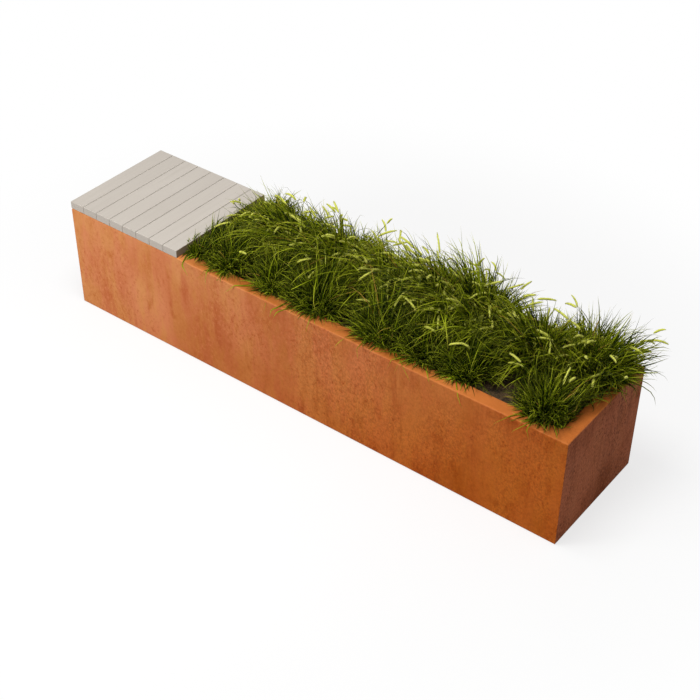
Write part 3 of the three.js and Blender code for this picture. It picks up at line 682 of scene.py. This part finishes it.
def arching_paths(root, heading, sway, length, lean, droop, bend, count):
    """Paths from a root. At the share s of a path the lean from upright is lean + (droop - lean) *
    s ** bend and the heading turns by sway * s, and a point is the root plus the running sum of
    equal steps in that direction. Returns the points and the heading at each."""
    share = np.linspace(0, 1, count)
    middle = (share[1:] + share[:-1]) / 2
    angle = lean[:, None] + (droop - lean)[:, None] * middle ** bend[:, None]
    turn = heading[:, None] + sway[:, None] * middle
    step = np.stack([np.sin(angle) * np.cos(turn), np.sin(angle) * np.sin(turn), np.cos(angle)], 2)
    step *= (length / (count - 1))[:, None, None]
    points = root[:, None] + np.concatenate([np.zeros((len(root), 1, 3)), np.cumsum(step, 1)], 1)
    return points, heading[:, None] + sway[:, None] * share


def soften(distance, room):
    """The distance itself below zero, and room * tanh(distance / room) above."""
    return np.where(distance > 0, room * np.tanh(distance / room), distance)


def draw_in(points, reach):
    """Holds overhanging points back: past a face or a height, a distance d becomes room * tanh(d / room).
    Sideways each path has its own share of the room, its reach. At the planted end the leaves hang out
    over the back corner, and towards the front corner they stop short on the rim."""
    x, y, z = points[..., 0], points[..., 1], points[..., 2]
    share = reach[:, None]
    to_back = np.interp(y, HANG_GROWS_OVER, [0, 1])
    end = HALF_LENGTH - RIM_WIDTH * (1 - to_back)
    end_share = END_ROOM_LEAST_SHARE + (1 - END_ROOM_LEAST_SHARE) * to_back
    x = end + soften(x - end, np.sqrt(share) * END_ROOM * end_share)
    x = SEAT_EDGE - soften(SEAT_EDGE - x, share * SEAT_ROOM)
    y = np.sign(y) * (HALF_WIDTH + soften(np.abs(y) - HALF_WIDTH, share * SIDE_ROOM))
    z = LEAF_TOP + soften(z - LEAF_TOP, TOP_ROOM)
    return np.stack([x, y, z], 2)


def rest_on_trough(points):
    """Keeps paths out of what they lie on: over the soil and over the rim a point is no lower than
    the surface, and a low point beside the seat stays short of the last slat's edge."""
    x, y, z = points[..., 0], points[..., 1], points[..., 2]
    within = (np.abs(x) < HALF_LENGTH + FACE_SLACK) & (np.abs(y) < HALF_WIDTH + FACE_SLACK)
    past_lip = RIM_WIDTH + LIP_SLACK
    over_rim = within & ((x > HALF_LENGTH - past_lip) | (np.abs(y) > HALF_WIDTH - past_lip))
    by_seat = x < SEAT_EDGE + LEAF_BY_SEAT
    over_seat = by_seat & (z > SEAT_TOP - SEAT_SLACK)
    x = np.where(by_seat & ~over_seat, SEAT_EDGE + LEAF_BY_SEAT, x)
    z = np.where(over_rim, np.maximum(z, RIM_TOP + LEAF_ON_RIM), z)
    z = np.where(within & ~over_rim, np.maximum(z, SOIL_TOP + LEAF_ON_SOIL), z)
    z = np.where(over_seat, np.maximum(z, SEAT_TOP + LEAF_ON_SEAT), z)
    return np.stack([x, y, z], 2)


def in_the_opening(middle, radius, azimuth):
    """Places on the soil at a radius from a middle, held clear of the lips, the seat and the bare patch."""
    inset = RIM_WIDTH + CROWN_CLEARANCE
    low = max(BED_LOW.x, SEAT_EDGE) + CROWN_CLEARANCE
    x = np.clip(middle[..., 0] + radius * np.cos(azimuth), low, HALF_LENGTH - inset)
    y = np.clip(middle[..., 1] + radius * np.sin(azimuth), inset - HALF_WIDTH, HALF_WIDTH - inset)
    bare = (x > BARE_PATCH_LOW[0]) & (x < BARE_PATCH_HIGH[0]) & (y > BARE_PATCH_LOW[1])
    y = np.where(bare, np.maximum(y, BARE_PATCH_HIGH[1]), y)
    return np.stack([x, y, np.full(len(x), SOIL_TOP)], 1)


def faces_between(rings, sides):
    """Four-sided faces between each ring of corners and the next."""
    corner = np.arange(sides)
    following = (corner + 1) % sides
    ring = sides * np.arange(rings - 1)[:, None]
    faces = [ring + corner, ring + following, ring + sides + following, ring + sides + corner]
    return np.stack(faces, 2).reshape(-1, 4)


def swept(points, turn, roll, section, width):
    """A profile carried along each path, from a ring of its corners at the root to a point at the
    tip. With T along the path, S level and square to the heading, rolled about T, and N = T x S, a
    corner (a, b) lies at the path plus width * (a * S + b * N). Returns the points, the quads, the
    triangles and each point's share of its path."""
    paths, count = points.shape[:2]
    sides = len(section)
    tangent = np.gradient(points, axis=1)
    tangent /= np.linalg.norm(tangent, axis=2, keepdims=True)
    level = np.stack([-np.sin(turn), np.cos(turn), np.zeros_like(turn)], 2)
    upper = np.cross(tangent, level)
    upper /= np.linalg.norm(upper, axis=2, keepdims=True)
    level = np.cross(upper, tangent)
    side = np.cos(roll)[..., None] * level + np.sin(roll)[..., None] * upper
    normal = np.cross(tangent, side)
    offset = section[:, 0, None] * side[:, :-1, None] + section[:, 1, None] * normal[:, :-1, None]
    rings = points[:, :-1, None] + width[:, :-1, None, None] * offset
    vertices = np.concatenate([rings.reshape(paths, -1, 3), points[:, -1:]], 1).reshape(-1, 3)
    tip = (count - 1) * sides
    corner = np.arange(sides)
    last = tip - sides
    tips = np.stack([last + corner, last + (corner + 1) % sides, np.full(sides, tip)], 1)
    root = np.stack([np.zeros(sides - 2, int), corner[2:], corner[1:-1]], 1)
    shift = (tip + 1) * np.arange(paths)[:, None, None]
    quads = (faces_between(count - 1, sides)[None] + shift).reshape(-1, 4)
    triangles = (np.concatenate([tips, root])[None] + shift).reshape(-1, 3)
    share = np.append(np.repeat(np.linspace(0, 1, count)[:-1], sides), 1.0)
    return vertices, quads, triangles, np.tile(share, paths)


BLADE_COUNT = 1220
FAR_BLADE_COUNT = 240
BLADE_POINTS = 8
BLADE_SECTION = np.array([(0.5, 0.0), (-0.5, 0.0), (0.0, -0.38)])
BLADE_WIDTH = 0.0046
UPRIGHT_SHARE = 0.2
DRY_SHARE = 0.009
STRAY_EVERY = 290
STRAY_LENGTH = (0.14, 0.19)
STRAY_LEAN_DEGREES = 46
STRAY_DROOP_DEGREES = 138


def grass_blades(rng, middle, mound, long_side, long_share, far_shoots):
    """Blades from random places in the main crown or in a smaller side shoot, near it or far. The
    further out a blade starts in its crown, the more it leans at the root and droops at the tip, but a
    few stay upright. It is widest at a quarter of its length, and longer by up to long_share towards
    the azimuth long_side, where the plant has room. Every so many blades one strays over the rim beside
    the plant and hangs down outside it. Returns the blades, and the tone and dryness of each point."""
    shoots = middle + rng.normal(0, SHOOT_SPREAD, (SHOOT_COUNT, 2))
    far = np.array(far_shoots).reshape(-1, 3)
    crowns = np.concatenate([[middle], shoots, middle + far[:, :2]])
    crown_size = np.concatenate([[1.0], np.full(SHOOT_COUNT, SHOOT_SIZE_SHARE), far[:, 2]])
    in_main = rng.random(BLADE_COUNT) < MAIN_CROWN_SHARE
    near_crown = np.where(in_main, 0, rng.integers(1, SHOOT_COUNT + 1, BLADE_COUNT))
    far_crown = np.repeat(np.arange(SHOOT_COUNT + 1, len(crowns)), FAR_BLADE_COUNT)
    chosen = np.concatenate([near_crown, far_crown])
    count = len(chosen)
    size = crown_size[chosen]
    share = np.sqrt(rng.random(count))
    azimuth = rng.uniform(0, 2 * np.pi, count)
    root = in_the_opening(crowns[chosen], CROWN_RADIUS * size * share, azimuth)
    heading = azimuth + rng.normal(0, 0.5, count)
    upright = rng.random(count) < UPRIGHT_SHARE
    lean = np.radians(4 + 36 * share + rng.normal(0, 7, count))
    arched = 56 + 58 * share ** 1.3 + rng.normal(0, 22, count)
    droop = np.radians(np.where(upright, rng.uniform(15, 50, count), arched))
    length = mound * size * rng.uniform(0.6, 1.3, count) * (1 + long_share * np.cos(heading - long_side))
    bend = rng.uniform(1.1, 2.3, count)
    sway = rng.normal(0, 0.5, count)
    reach = 0.15 + 0.85 * rng.random(count) ** 3

    stray = np.arange(count) % STRAY_EVERY == 0
    heading[stray] = np.sign(middle[1]) * np.pi / 2 + 1.5 * sway[stray]
    lean[stray] = np.radians(STRAY_LEAN_DEGREES)
    droop[stray] = np.radians(STRAY_DROOP_DEGREES)
    length[stray] = np.interp(share[stray], [0, 1], STRAY_LENGTH)
    bend[stray] = 1.0
    reach[stray] = 1.0

    points, turn = arching_paths(root, heading, sway, length, lean, droop, bend, BLADE_POINTS)
    points = rest_on_trough(draw_in(points, reach))
    along = np.linspace(0, 1, BLADE_POINTS)
    outline = np.interp(along, [0, 0.25, 0.6, 1], [0.6, 1, 0.8, 0.1])
    width = BLADE_WIDTH * rng.uniform(0.65, 1.2, count)[:, None] * outline
    roll = rng.normal(0, 0.35, count)[:, None] + rng.normal(0, 0.9, count)[:, None] * along
    blades = swept(points, turn, roll, BLADE_SECTION, width)
    tone = rng.random(count)
    tone[stray] = 1.0
    dry = (rng.random(count) < DRY_SHARE).astype(float)
    per_blade = len(blades[0]) // count
    return blades, np.repeat(tone, per_blade), np.repeat(dry, per_blade)


# Heights of the spikes as shares of the mound's, and the most that they lean over the rim beside
# them, as the sine of the heading. The crown's spikes rise from a little behind its blades.
SPIKE_RISE_SHARE = {"back": (0.58, 0.92), "front": (0.8, 1.15)}
SPIKE_OUTWARD = {"back": 0.8, "front": 0.15}
SPIKES_BEHIND = 0.024
SPIKE_LENGTH = (0.038, 0.07)
SPIKE_WIDTH = 0.0066
SPIKE_POINTS = 11
SPIKE_SIDES = 8
LONGEST_STALK = 0.262
STALK_WIDTH = 0.0028
STALK_POINTS = 8
STALK_SECTION = np.array([(0.5, -0.3), (0.0, 0.55), (-0.5, -0.3)])
BRISTLE_COUNT = 150
BRISTLE_LENGTH = 0.0042
BRISTLE_FOOT = 0.0009
BRISTLE_SET_IN = 0.7
BRISTLE_OUTWARD = 0.62
BRISTLE_FORWARD = 0.78
BRISTLE_STEP = 0.01
CORE_SHARE = np.linspace(0, 1, SPIKE_POINTS)
CORE_OUTLINE = np.interp(CORE_SHARE, [0, 0.06, 0.2, 0.7, 0.93, 1], [0.3, 0.8, 1, 0.9, 0.55, 0.2])
FINE_POINTS = 64


def spots_on(path, turn, shares):
    """Points and headings of each path at given shares of its length."""
    index = shares * (FINE_POINTS - 1)
    low = np.minimum(index.astype(int), FINE_POINTS - 2)
    part = (index - low)[..., None]
    rows = np.arange(len(path))[:, None]
    return path[rows, low] * (1 - part) + path[rows, low + 1] * part, turn[rows, low]


def spike_paths(rng, middle, mound, count, rise_share, outward_limit):
    """Paths that rise through the leaves by a share of the mound's height and bow over. None leans
    over the rim beside it by more than the outward limit, the sine of its heading. Returns the points,
    the headings and the share of each path at which its stalk ends and its spike starts."""
    even = np.arange(count) + rng.uniform(-0.45, 0.45, count)
    azimuth = even * 2 * np.pi / count + rng.uniform(0, 2 * np.pi)
    root = in_the_opening(middle, CROWN_RADIUS * rng.uniform(0.1, 1.3, count), azimuth)
    heading = azimuth + rng.normal(0, 0.6, count)
    heading = np.where(np.sin(heading) * np.sign(middle[1]) > outward_limit, -heading, heading)
    lean = np.radians(rng.uniform(6, 44, count))
    droop = np.radians(rng.uniform(62, 126, count))
    spike = rng.uniform(*SPIKE_LENGTH, count)
    length = np.minimum(mound * rng.uniform(*rise_share, count) + spike, LONGEST_STALK)
    bend = rng.uniform(1.4, 2.8, count)
    sway = rng.normal(0, 0.4, count)
    path, turn = arching_paths(root, heading, sway, length, lean, droop, bend, FINE_POINTS)
    path = rest_on_trough(draw_in(path, rng.uniform(0.4, 1.0, count)))
    return path, turn, (1 - spike / length)[:, None]


def spike_bristles(rng, path, turn, start, thickness):
    """Thin pyramids from random places just inside each spike's core, which point outwards and
    forwards. With T along the path and O outwards, a tip is the foot plus the reach times
    (BRISTLE_OUTWARD * O + BRISTLE_FORWARD * T)."""
    count = len(path)
    where = np.sort(rng.uniform(0.02, 0.99, (count, BRISTLE_COUNT)), 1)
    share = start + (1 - start) * where
    spot, spot_turn = spots_on(path, turn, share)
    ahead = spots_on(path, turn, np.minimum(share + BRISTLE_STEP, 1.0))[0]
    behind = spots_on(path, turn, np.maximum(share - BRISTLE_STEP, 0.0))[0]
    tangent = ahead - behind
    tangent /= np.linalg.norm(tangent, axis=2, keepdims=True)
    side = np.stack([-np.sin(spot_turn), np.cos(spot_turn), np.zeros_like(spot_turn)], 2)
    upper = np.cross(tangent, side)
    around = rng.uniform(0, 2 * np.pi, (count, BRISTLE_COUNT))[..., None]
    outward = np.cos(around) * side + np.sin(around) * upper
    surface = (thickness * np.interp(where, CORE_SHARE, CORE_OUTLINE))[..., None] / 2
    base = spot + BRISTLE_SET_IN * surface * outward
    reach = BRISTLE_LENGTH * rng.uniform(0.6, 1.15, (count, BRISTLE_COUNT))[..., None]
    tip = base + reach * (BRISTLE_OUTWARD * outward + BRISTLE_FORWARD * tangent)
    across = BRISTLE_FOOT * np.cross(tangent, outward)
    forward = 1.4 * BRISTLE_FOOT * tangent
    corners = np.stack([base - across, base + across, base + forward, tip], 2).reshape(-1, 3)
    pyramid = np.array([(0, 1, 3), (1, 2, 3), (2, 0, 3), (0, 2, 1)])
    triangles = (pyramid[None] + 4 * np.arange(count * BRISTLE_COUNT)[:, None, None]).reshape(-1, 3)
    along = np.tile([0.3, 0.3, 0.3, 1.0], count * BRISTLE_COUNT)
    return corners, np.zeros((0, 4), int), triangles, along


def flower_spikes(rng, path, turn, start):
    """A stalk along each path up to its start share, and from there a spike: a round core that swells
    and tapers, and its bristles. Returns the three."""
    count = len(path)
    points, heading = spots_on(path, turn, start * np.linspace(0, 1.01, STALK_POINTS))
    level = np.zeros((count, STALK_POINTS))
    stalks = swept(points, heading, level, STALK_SECTION, np.full((count, STALK_POINTS), STALK_WIDTH))

    ring = 2 * np.pi * np.arange(SPIKE_SIDES) / SPIKE_SIDES
    section = np.stack([np.cos(ring), np.sin(ring)], 1) / 2
    points, heading = spots_on(path, turn, start + (1 - start) * CORE_SHARE)
    thickness = SPIKE_WIDTH * rng.uniform(0.8, 1.15, count)[:, None]
    level = np.zeros((count, SPIKE_POINTS))
    cores = swept(points, heading, level, section, thickness * CORE_OUTLINE)
    return stalks, cores, spike_bristles(rng, path, turn, start, thickness)


ROOT_BALL_SIDES = 20
ROOT_BALL_DENT_SHARE = 0.05
ROOT_BALL_FLATNESS = 0.0001


def root_ball(rng, middle, foot):
    """Potted root ball as a lathe: its radius grows from foot to soil, with small random dents."""
    profile = [
        (0.0, foot),
        (0.045, foot),
        (0.05, foot + 0.03),
        (0.055, foot + 0.07),
        (0.06, SOIL_TOP - 0.004),
        (0.058, SOIL_TOP),
        (0.03, SOIL_TOP + 0.006),
        (0.0, SOIL_TOP + 0.008),
    ]
    radius, height = np.array(profile)[1:-1, :, None].transpose(1, 0, 2)
    sides = ROOT_BALL_SIDES
    rings = len(radius)
    angle = 2 * np.pi * np.arange(sides) / sides
    dented = radius * rng.uniform(1 - ROOT_BALL_DENT_SHARE, 1.0, (rings, sides))
    x = middle[0] + dented * np.cos(angle)
    y = middle[1] + dented * np.sin(angle)
    around = np.stack([x, y, np.repeat(height, sides, 1)], 2).reshape(-1, 3)
    points = np.concatenate([around, [(*middle, profile[0][1]), (*middle, profile[-1][1])]])
    corner = np.arange(sides)
    following = (corner + 1) % sides
    top = sides * (rings - 1)
    under = np.stack([following, corner, np.full(sides, sides * rings)], 1)
    over = np.stack([top + corner, top + following, np.full(sides, sides * rings + 1)], 1)
    return points, faces_between(rings, sides), np.concatenate([under, over]), np.zeros(len(points))


# Painted shade: the blades' dark roots stand in for the shade deep in the tufts.
BLADE_ROOT_SHADE = on_screen(6, 12, 1)
# The dark blade tone is partly painted shade, and the pale tip partly painted highlight.
BLADE_DARK = on_screen(24, 38, 1)
BLADE_MAIN = on_screen(144, 163, 2)
BLADE_TIP = on_screen(214, 220, 62)
BLADE_DRY = on_screen(178, 142, 60)
SPIKE_GREEN = on_screen(208, 212, 84)
SPIKE_HUSK = on_screen(218, 216, 96)
BRISTLE_TIP = on_screen(248, 248, 140)


def carried(tree, name):
    """A value that the mesh carries at its points."""
    return add_node(tree, "ShaderNodeAttribute", attribute_name=name).outputs["Fac"]


def leaf_green():
    """Blade colour by its share of the length: dark at the root, which is painted shade, green, then paler
    at the tip, with a tone for each blade, soft dark patches, scorched tips and a few blades that have
    dried to straw. The darkest tones are partly painted shade, and the pale tips partly painted highlight."""
    material, tree, shader, place = new_material("leaf_green")
    along, tone, dry = carried(tree, "along"), carried(tree, "tone"), carried(tree, "dry")
    middle = blend(tree, spread(tree, tone, 0.34, 1.0), BLADE_DARK, BLADE_MAIN)
    # Painted shade at the root of each blade.
    colour = blend(tree, spread(tree, along, 0.04, 0.5), BLADE_ROOT_SHADE, middle)
    tip_share = product(tree, spread(tree, along, 0.45, 1.0), spread(tree, tone, 0.35, 1.0, 0.1, 0.95))
    colour = blend(tree, tip_share, colour, BLADE_TIP)
    patch = spread(tree, cloudy(tree, place, 26, 3), 0.35, 0.65)
    colour = blend(tree, product(tree, patch, 0.3), colour, BLADE_DARK)
    scorch = product(tree, spread(tree, along, 0.8, 1.0), spread(tree, tone, 0.8, 0.95), 0.8)
    colour = blend(tree, calculate(tree, "MAXIMUM", dry, scorch), colour, BLADE_DRY)
    roughness = spread(tree, tone, 0, 1, 0.5, 0.7)
    feed(tree, shader, {"Base Color": colour, "Roughness": roughness, "Specular IOR Level": 0.07})
    feed(tree, shader, {"Subsurface Weight": 0.2, "Subsurface Scale": 0.006})
    feed(tree, shader, {"Subsurface Radius": (0.8, 1.0, 0.15)})
    return material


def flower_green():
    """Flower spike: yellow-green, greener in the core and pale at the ends of the bristles."""
    material, tree, shader, place = new_material("flower_green")
    colour = blend(tree, spread(tree, carried(tree, "along"), 0.0, 1.0), SPIKE_GREEN, BRISTLE_TIP)
    husks = spread(tree, cloudy(tree, place, 420, 2), 0.45, 0.65, 0.0, 0.5)
    colour = blend(tree, husks, colour, SPIKE_HUSK)
    roughness = spread(tree, husks, 0.0, 0.5, 0.6, 0.8)
    feed(tree, shader, {"Base Color": colour, "Roughness": roughness, "Specular IOR Level": 0.2})
    return material


PLANT_FINISHES = {"leaf": leaf_green(), "flower": flower_green(), "soil": compost}


def plant_part(surface, finish, tone=0.0, along_share=1.0, dry=0.0):
    """One part of a plant: its points and faces, its finish, and what each of its points carries."""
    points, quads, triangles, along = surface
    size = len(points)
    return {
        "points": points,
        "quads": quads,
        "triangles": triangles,
        "finish": list(PLANT_FINISHES).index(finish),
        "along": along_share * along,
        "tone": np.full(size, tone),
        "dry": np.full(size, dry),
    }


def joined_piece(name, parts):
    """A piece from the parts of a plant, in their finishes."""
    starts = np.cumsum([0] + [len(part["points"]) for part in parts[:-1]])
    points = np.concatenate([part["points"] for part in parts])
    quads = np.concatenate([part["quads"] + start for part, start in zip(parts, starts)])
    triangles = np.concatenate([part["triangles"] + start for part, start in zip(parts, starts)])
    kinds = ("quads", "triangles")
    finish = np.concatenate([np.full(len(part[kind]), part["finish"]) for kind in kinds for part in parts])
    values = {key: np.concatenate([part[key] for part in parts]) for key in ("along", "tone", "dry")}
    return mesh_piece(name, points, quads, triangles, PLANT_FINISHES.values(), finish, values)


def root_ball_foot(node):
    """The middle of the lowest ring of a plant's solid, and its height."""
    solid = nodes[node].data
    corners = np.zeros(3 * len(solid.vertices), np.float32)
    solid.vertices.foreach_get("co", corners)
    corners = corners.reshape(-1, 3).astype(float)
    foot = corners[:, 2].min()
    ring = corners[corners[:, 2] < foot + ROOT_BALL_FLATNESS]
    return (ring.min(0)[:2] + ring.max(0)[:2]) / 2, foot


def add_grass(node, mound, spikes, lift, shift):
    """One plant in place of its CAD node. Its root ball stands where the node's does, and its crown
    is shifted from the middle of that."""
    _, row, number = node.split("_")
    rng = np.random.default_rng(100 * int(number) + ROW_SEED[row])
    middle, foot = root_ball_foot(node)
    crown = middle + np.array(shift)
    growth = LONGER_TOWARDS.get(node, (ROW_INWARD[row], LONGER_INWARD_SHARE))
    blades, tone, dry = grass_blades(rng, crown, mound, *growth, FAR_SHOOTS.get(node, []))
    behind = crown + np.array([0.0, SPIKES_BEHIND])
    rise_share = lift * np.array(SPIKE_RISE_SHARE[row])
    paths = spike_paths(rng, behind, mound, spikes, rise_share, SPIKE_OUTWARD[row])
    stalks, cores, bristles = flower_spikes(rng, *paths)
    parts = [
        # The front row's darker blade tones are painted shade.
        plant_part(blades, "leaf", tone=ROW_SHADED_TONE_SHARE[row] * tone, dry=dry),
        plant_part(stalks, "leaf", tone=0.45, along_share=0.5),
        plant_part(cores, "flower", tone=0.5, along_share=0.3),
        plant_part(bristles, "flower", tone=0.5),
        plant_part(root_ball(rng, middle, foot), "soil"),
    ]
    piece = joined_piece(node.replace("grass", "leaves"), parts)
    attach(piece, "root")
    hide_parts(node)


for node, plant in GRASSES.items():
    add_grass(node, *plant)

# Studio: a plain pale floor, a white surround, a large soft lamp overhead and one in front on the
# seat's side, so that the planted end is in shade.
FLOOR_HALF = 30.0
FLOOR_THROWS_BACK = (0.5, 0.5, 0.5, 1)
FLOOR_SEEN = (0.93, 0.93, 0.93, 1)
FLOOR_SEEN_PALER = (0.95, 0.95, 0.95, 1)
FLOOR_WHITE_SHARE = 0.72
FLOOR_FADE_START = 0.9
FLOOR_FADE_END = 1.9
SURROUND_LIGHT = 0.36
OVERHEAD_PLACE = Vector((0.1, -0.8, 3.8))
OVERHEAD_SIZE = 1.5
OVERHEAD_WATTS = 92.0
FRONT_PLACE = Vector((-2.4, -3.2, 1.5))
FRONT_SIZE = 1.4
FRONT_WATTS = 65.0
LAMPS_FACE = Vector((0, 0, 0.3))


def to_the_eye(tree):
    """1 for what is seen, directly, in a polished face or through glass, and 0 for what lights the rest."""
    rays = add_node(tree, "ShaderNodeLightPath").outputs
    other_sight = calculate(tree, "MAXIMUM", rays["Is Glossy Ray"], rays["Is Transmission Ray"])
    return calculate(tree, "MAXIMUM", rays["Is Camera Ray"], other_sight)


def pale_floor():
    """A flat floor that throws back half of the light. To the eye it is a white that the object's
    shadow greys a little, and further off it passes into the white of the surround."""
    mesh = bpy.data.meshes.new("floor")
    corners = [(a * FLOOR_HALF, b * FLOOR_HALF, 0) for a, b in ((-1, -1), (1, -1), (1, 1), (-1, 1))]
    mesh.from_pydata(corners, [], [(0, 1, 2, 3)])
    floor = bpy.data.objects.new("floor", mesh)
    bpy.context.scene.collection.objects.link(floor)
    material, tree, shader, place = new_material("pale_floor")
    seen = to_the_eye(tree)
    faint = spread(tree, cloudy(tree, place, 1.3, 2), 0.3, 0.7)
    seen_white = blend(tree, faint, FLOOR_SEEN, FLOOR_SEEN_PALER)
    colour = blend(tree, seen, FLOOR_THROWS_BACK, seen_white)
    feed(tree, shader, {"Base Color": colour, "Roughness": 1.0, "Specular IOR Level": 0.0})
    distance = add_node(tree, "ShaderNodeVectorMath", {0: place}, operation="LENGTH").outputs["Value"]
    far = spread(tree, distance, FLOOR_FADE_START, FLOOR_FADE_END, FLOOR_WHITE_SHARE, 1.0)
    glow = add_node(tree, "ShaderNodeEmission", {"Color": (1, 1, 1, 1), "Strength": 1.0}).outputs[0]
    share = product(tree, far, seen)
    mixed = add_node(tree, "ShaderNodeMixShader", {0: share, 1: shader.outputs[0], 2: glow})
    feed(tree, tree.nodes["Material Output"], {"Surface": mixed.outputs[0]})
    mesh.materials.append(material)


def white_surround():
    """The world: white to the eye, and a level fill light for everything else."""
    world = bpy.data.worlds.new("surround")
    bpy.context.scene.world = world
    world.use_nodes = True
    tree = world.node_tree
    strength = spread(tree, to_the_eye(tree), 0.0, 1.0, SURROUND_LIGHT, 1.0)
    feed(tree, tree.nodes["Background"], {"Color": (1, 1, 1, 1), "Strength": strength})


def soft_lamp(name, place, size, watts):
    """A square area lamp that faces the middle of the object."""
    lamp = bpy.data.lights.new(name, "AREA")
    lamp.shape = "SQUARE"
    lamp.size = size
    lamp.energy = watts
    holder = bpy.data.objects.new(name, lamp)
    holder.location = place
    holder.rotation_mode = "QUATERNION"
    holder.rotation_quaternion = (LAMPS_FACE - place).to_track_quat("-Z", "Y")
    bpy.context.scene.collection.objects.link(holder)


pale_floor()
white_surround()
soft_lamp("overhead_lamp", OVERHEAD_PLACE, OVERHEAD_SIZE, OVERHEAD_WATTS)
soft_lamp("front_lamp", FRONT_PLACE, FRONT_SIZE, FRONT_WATTS)
bpy.context.scene.view_settings.view_transform = "Standard"
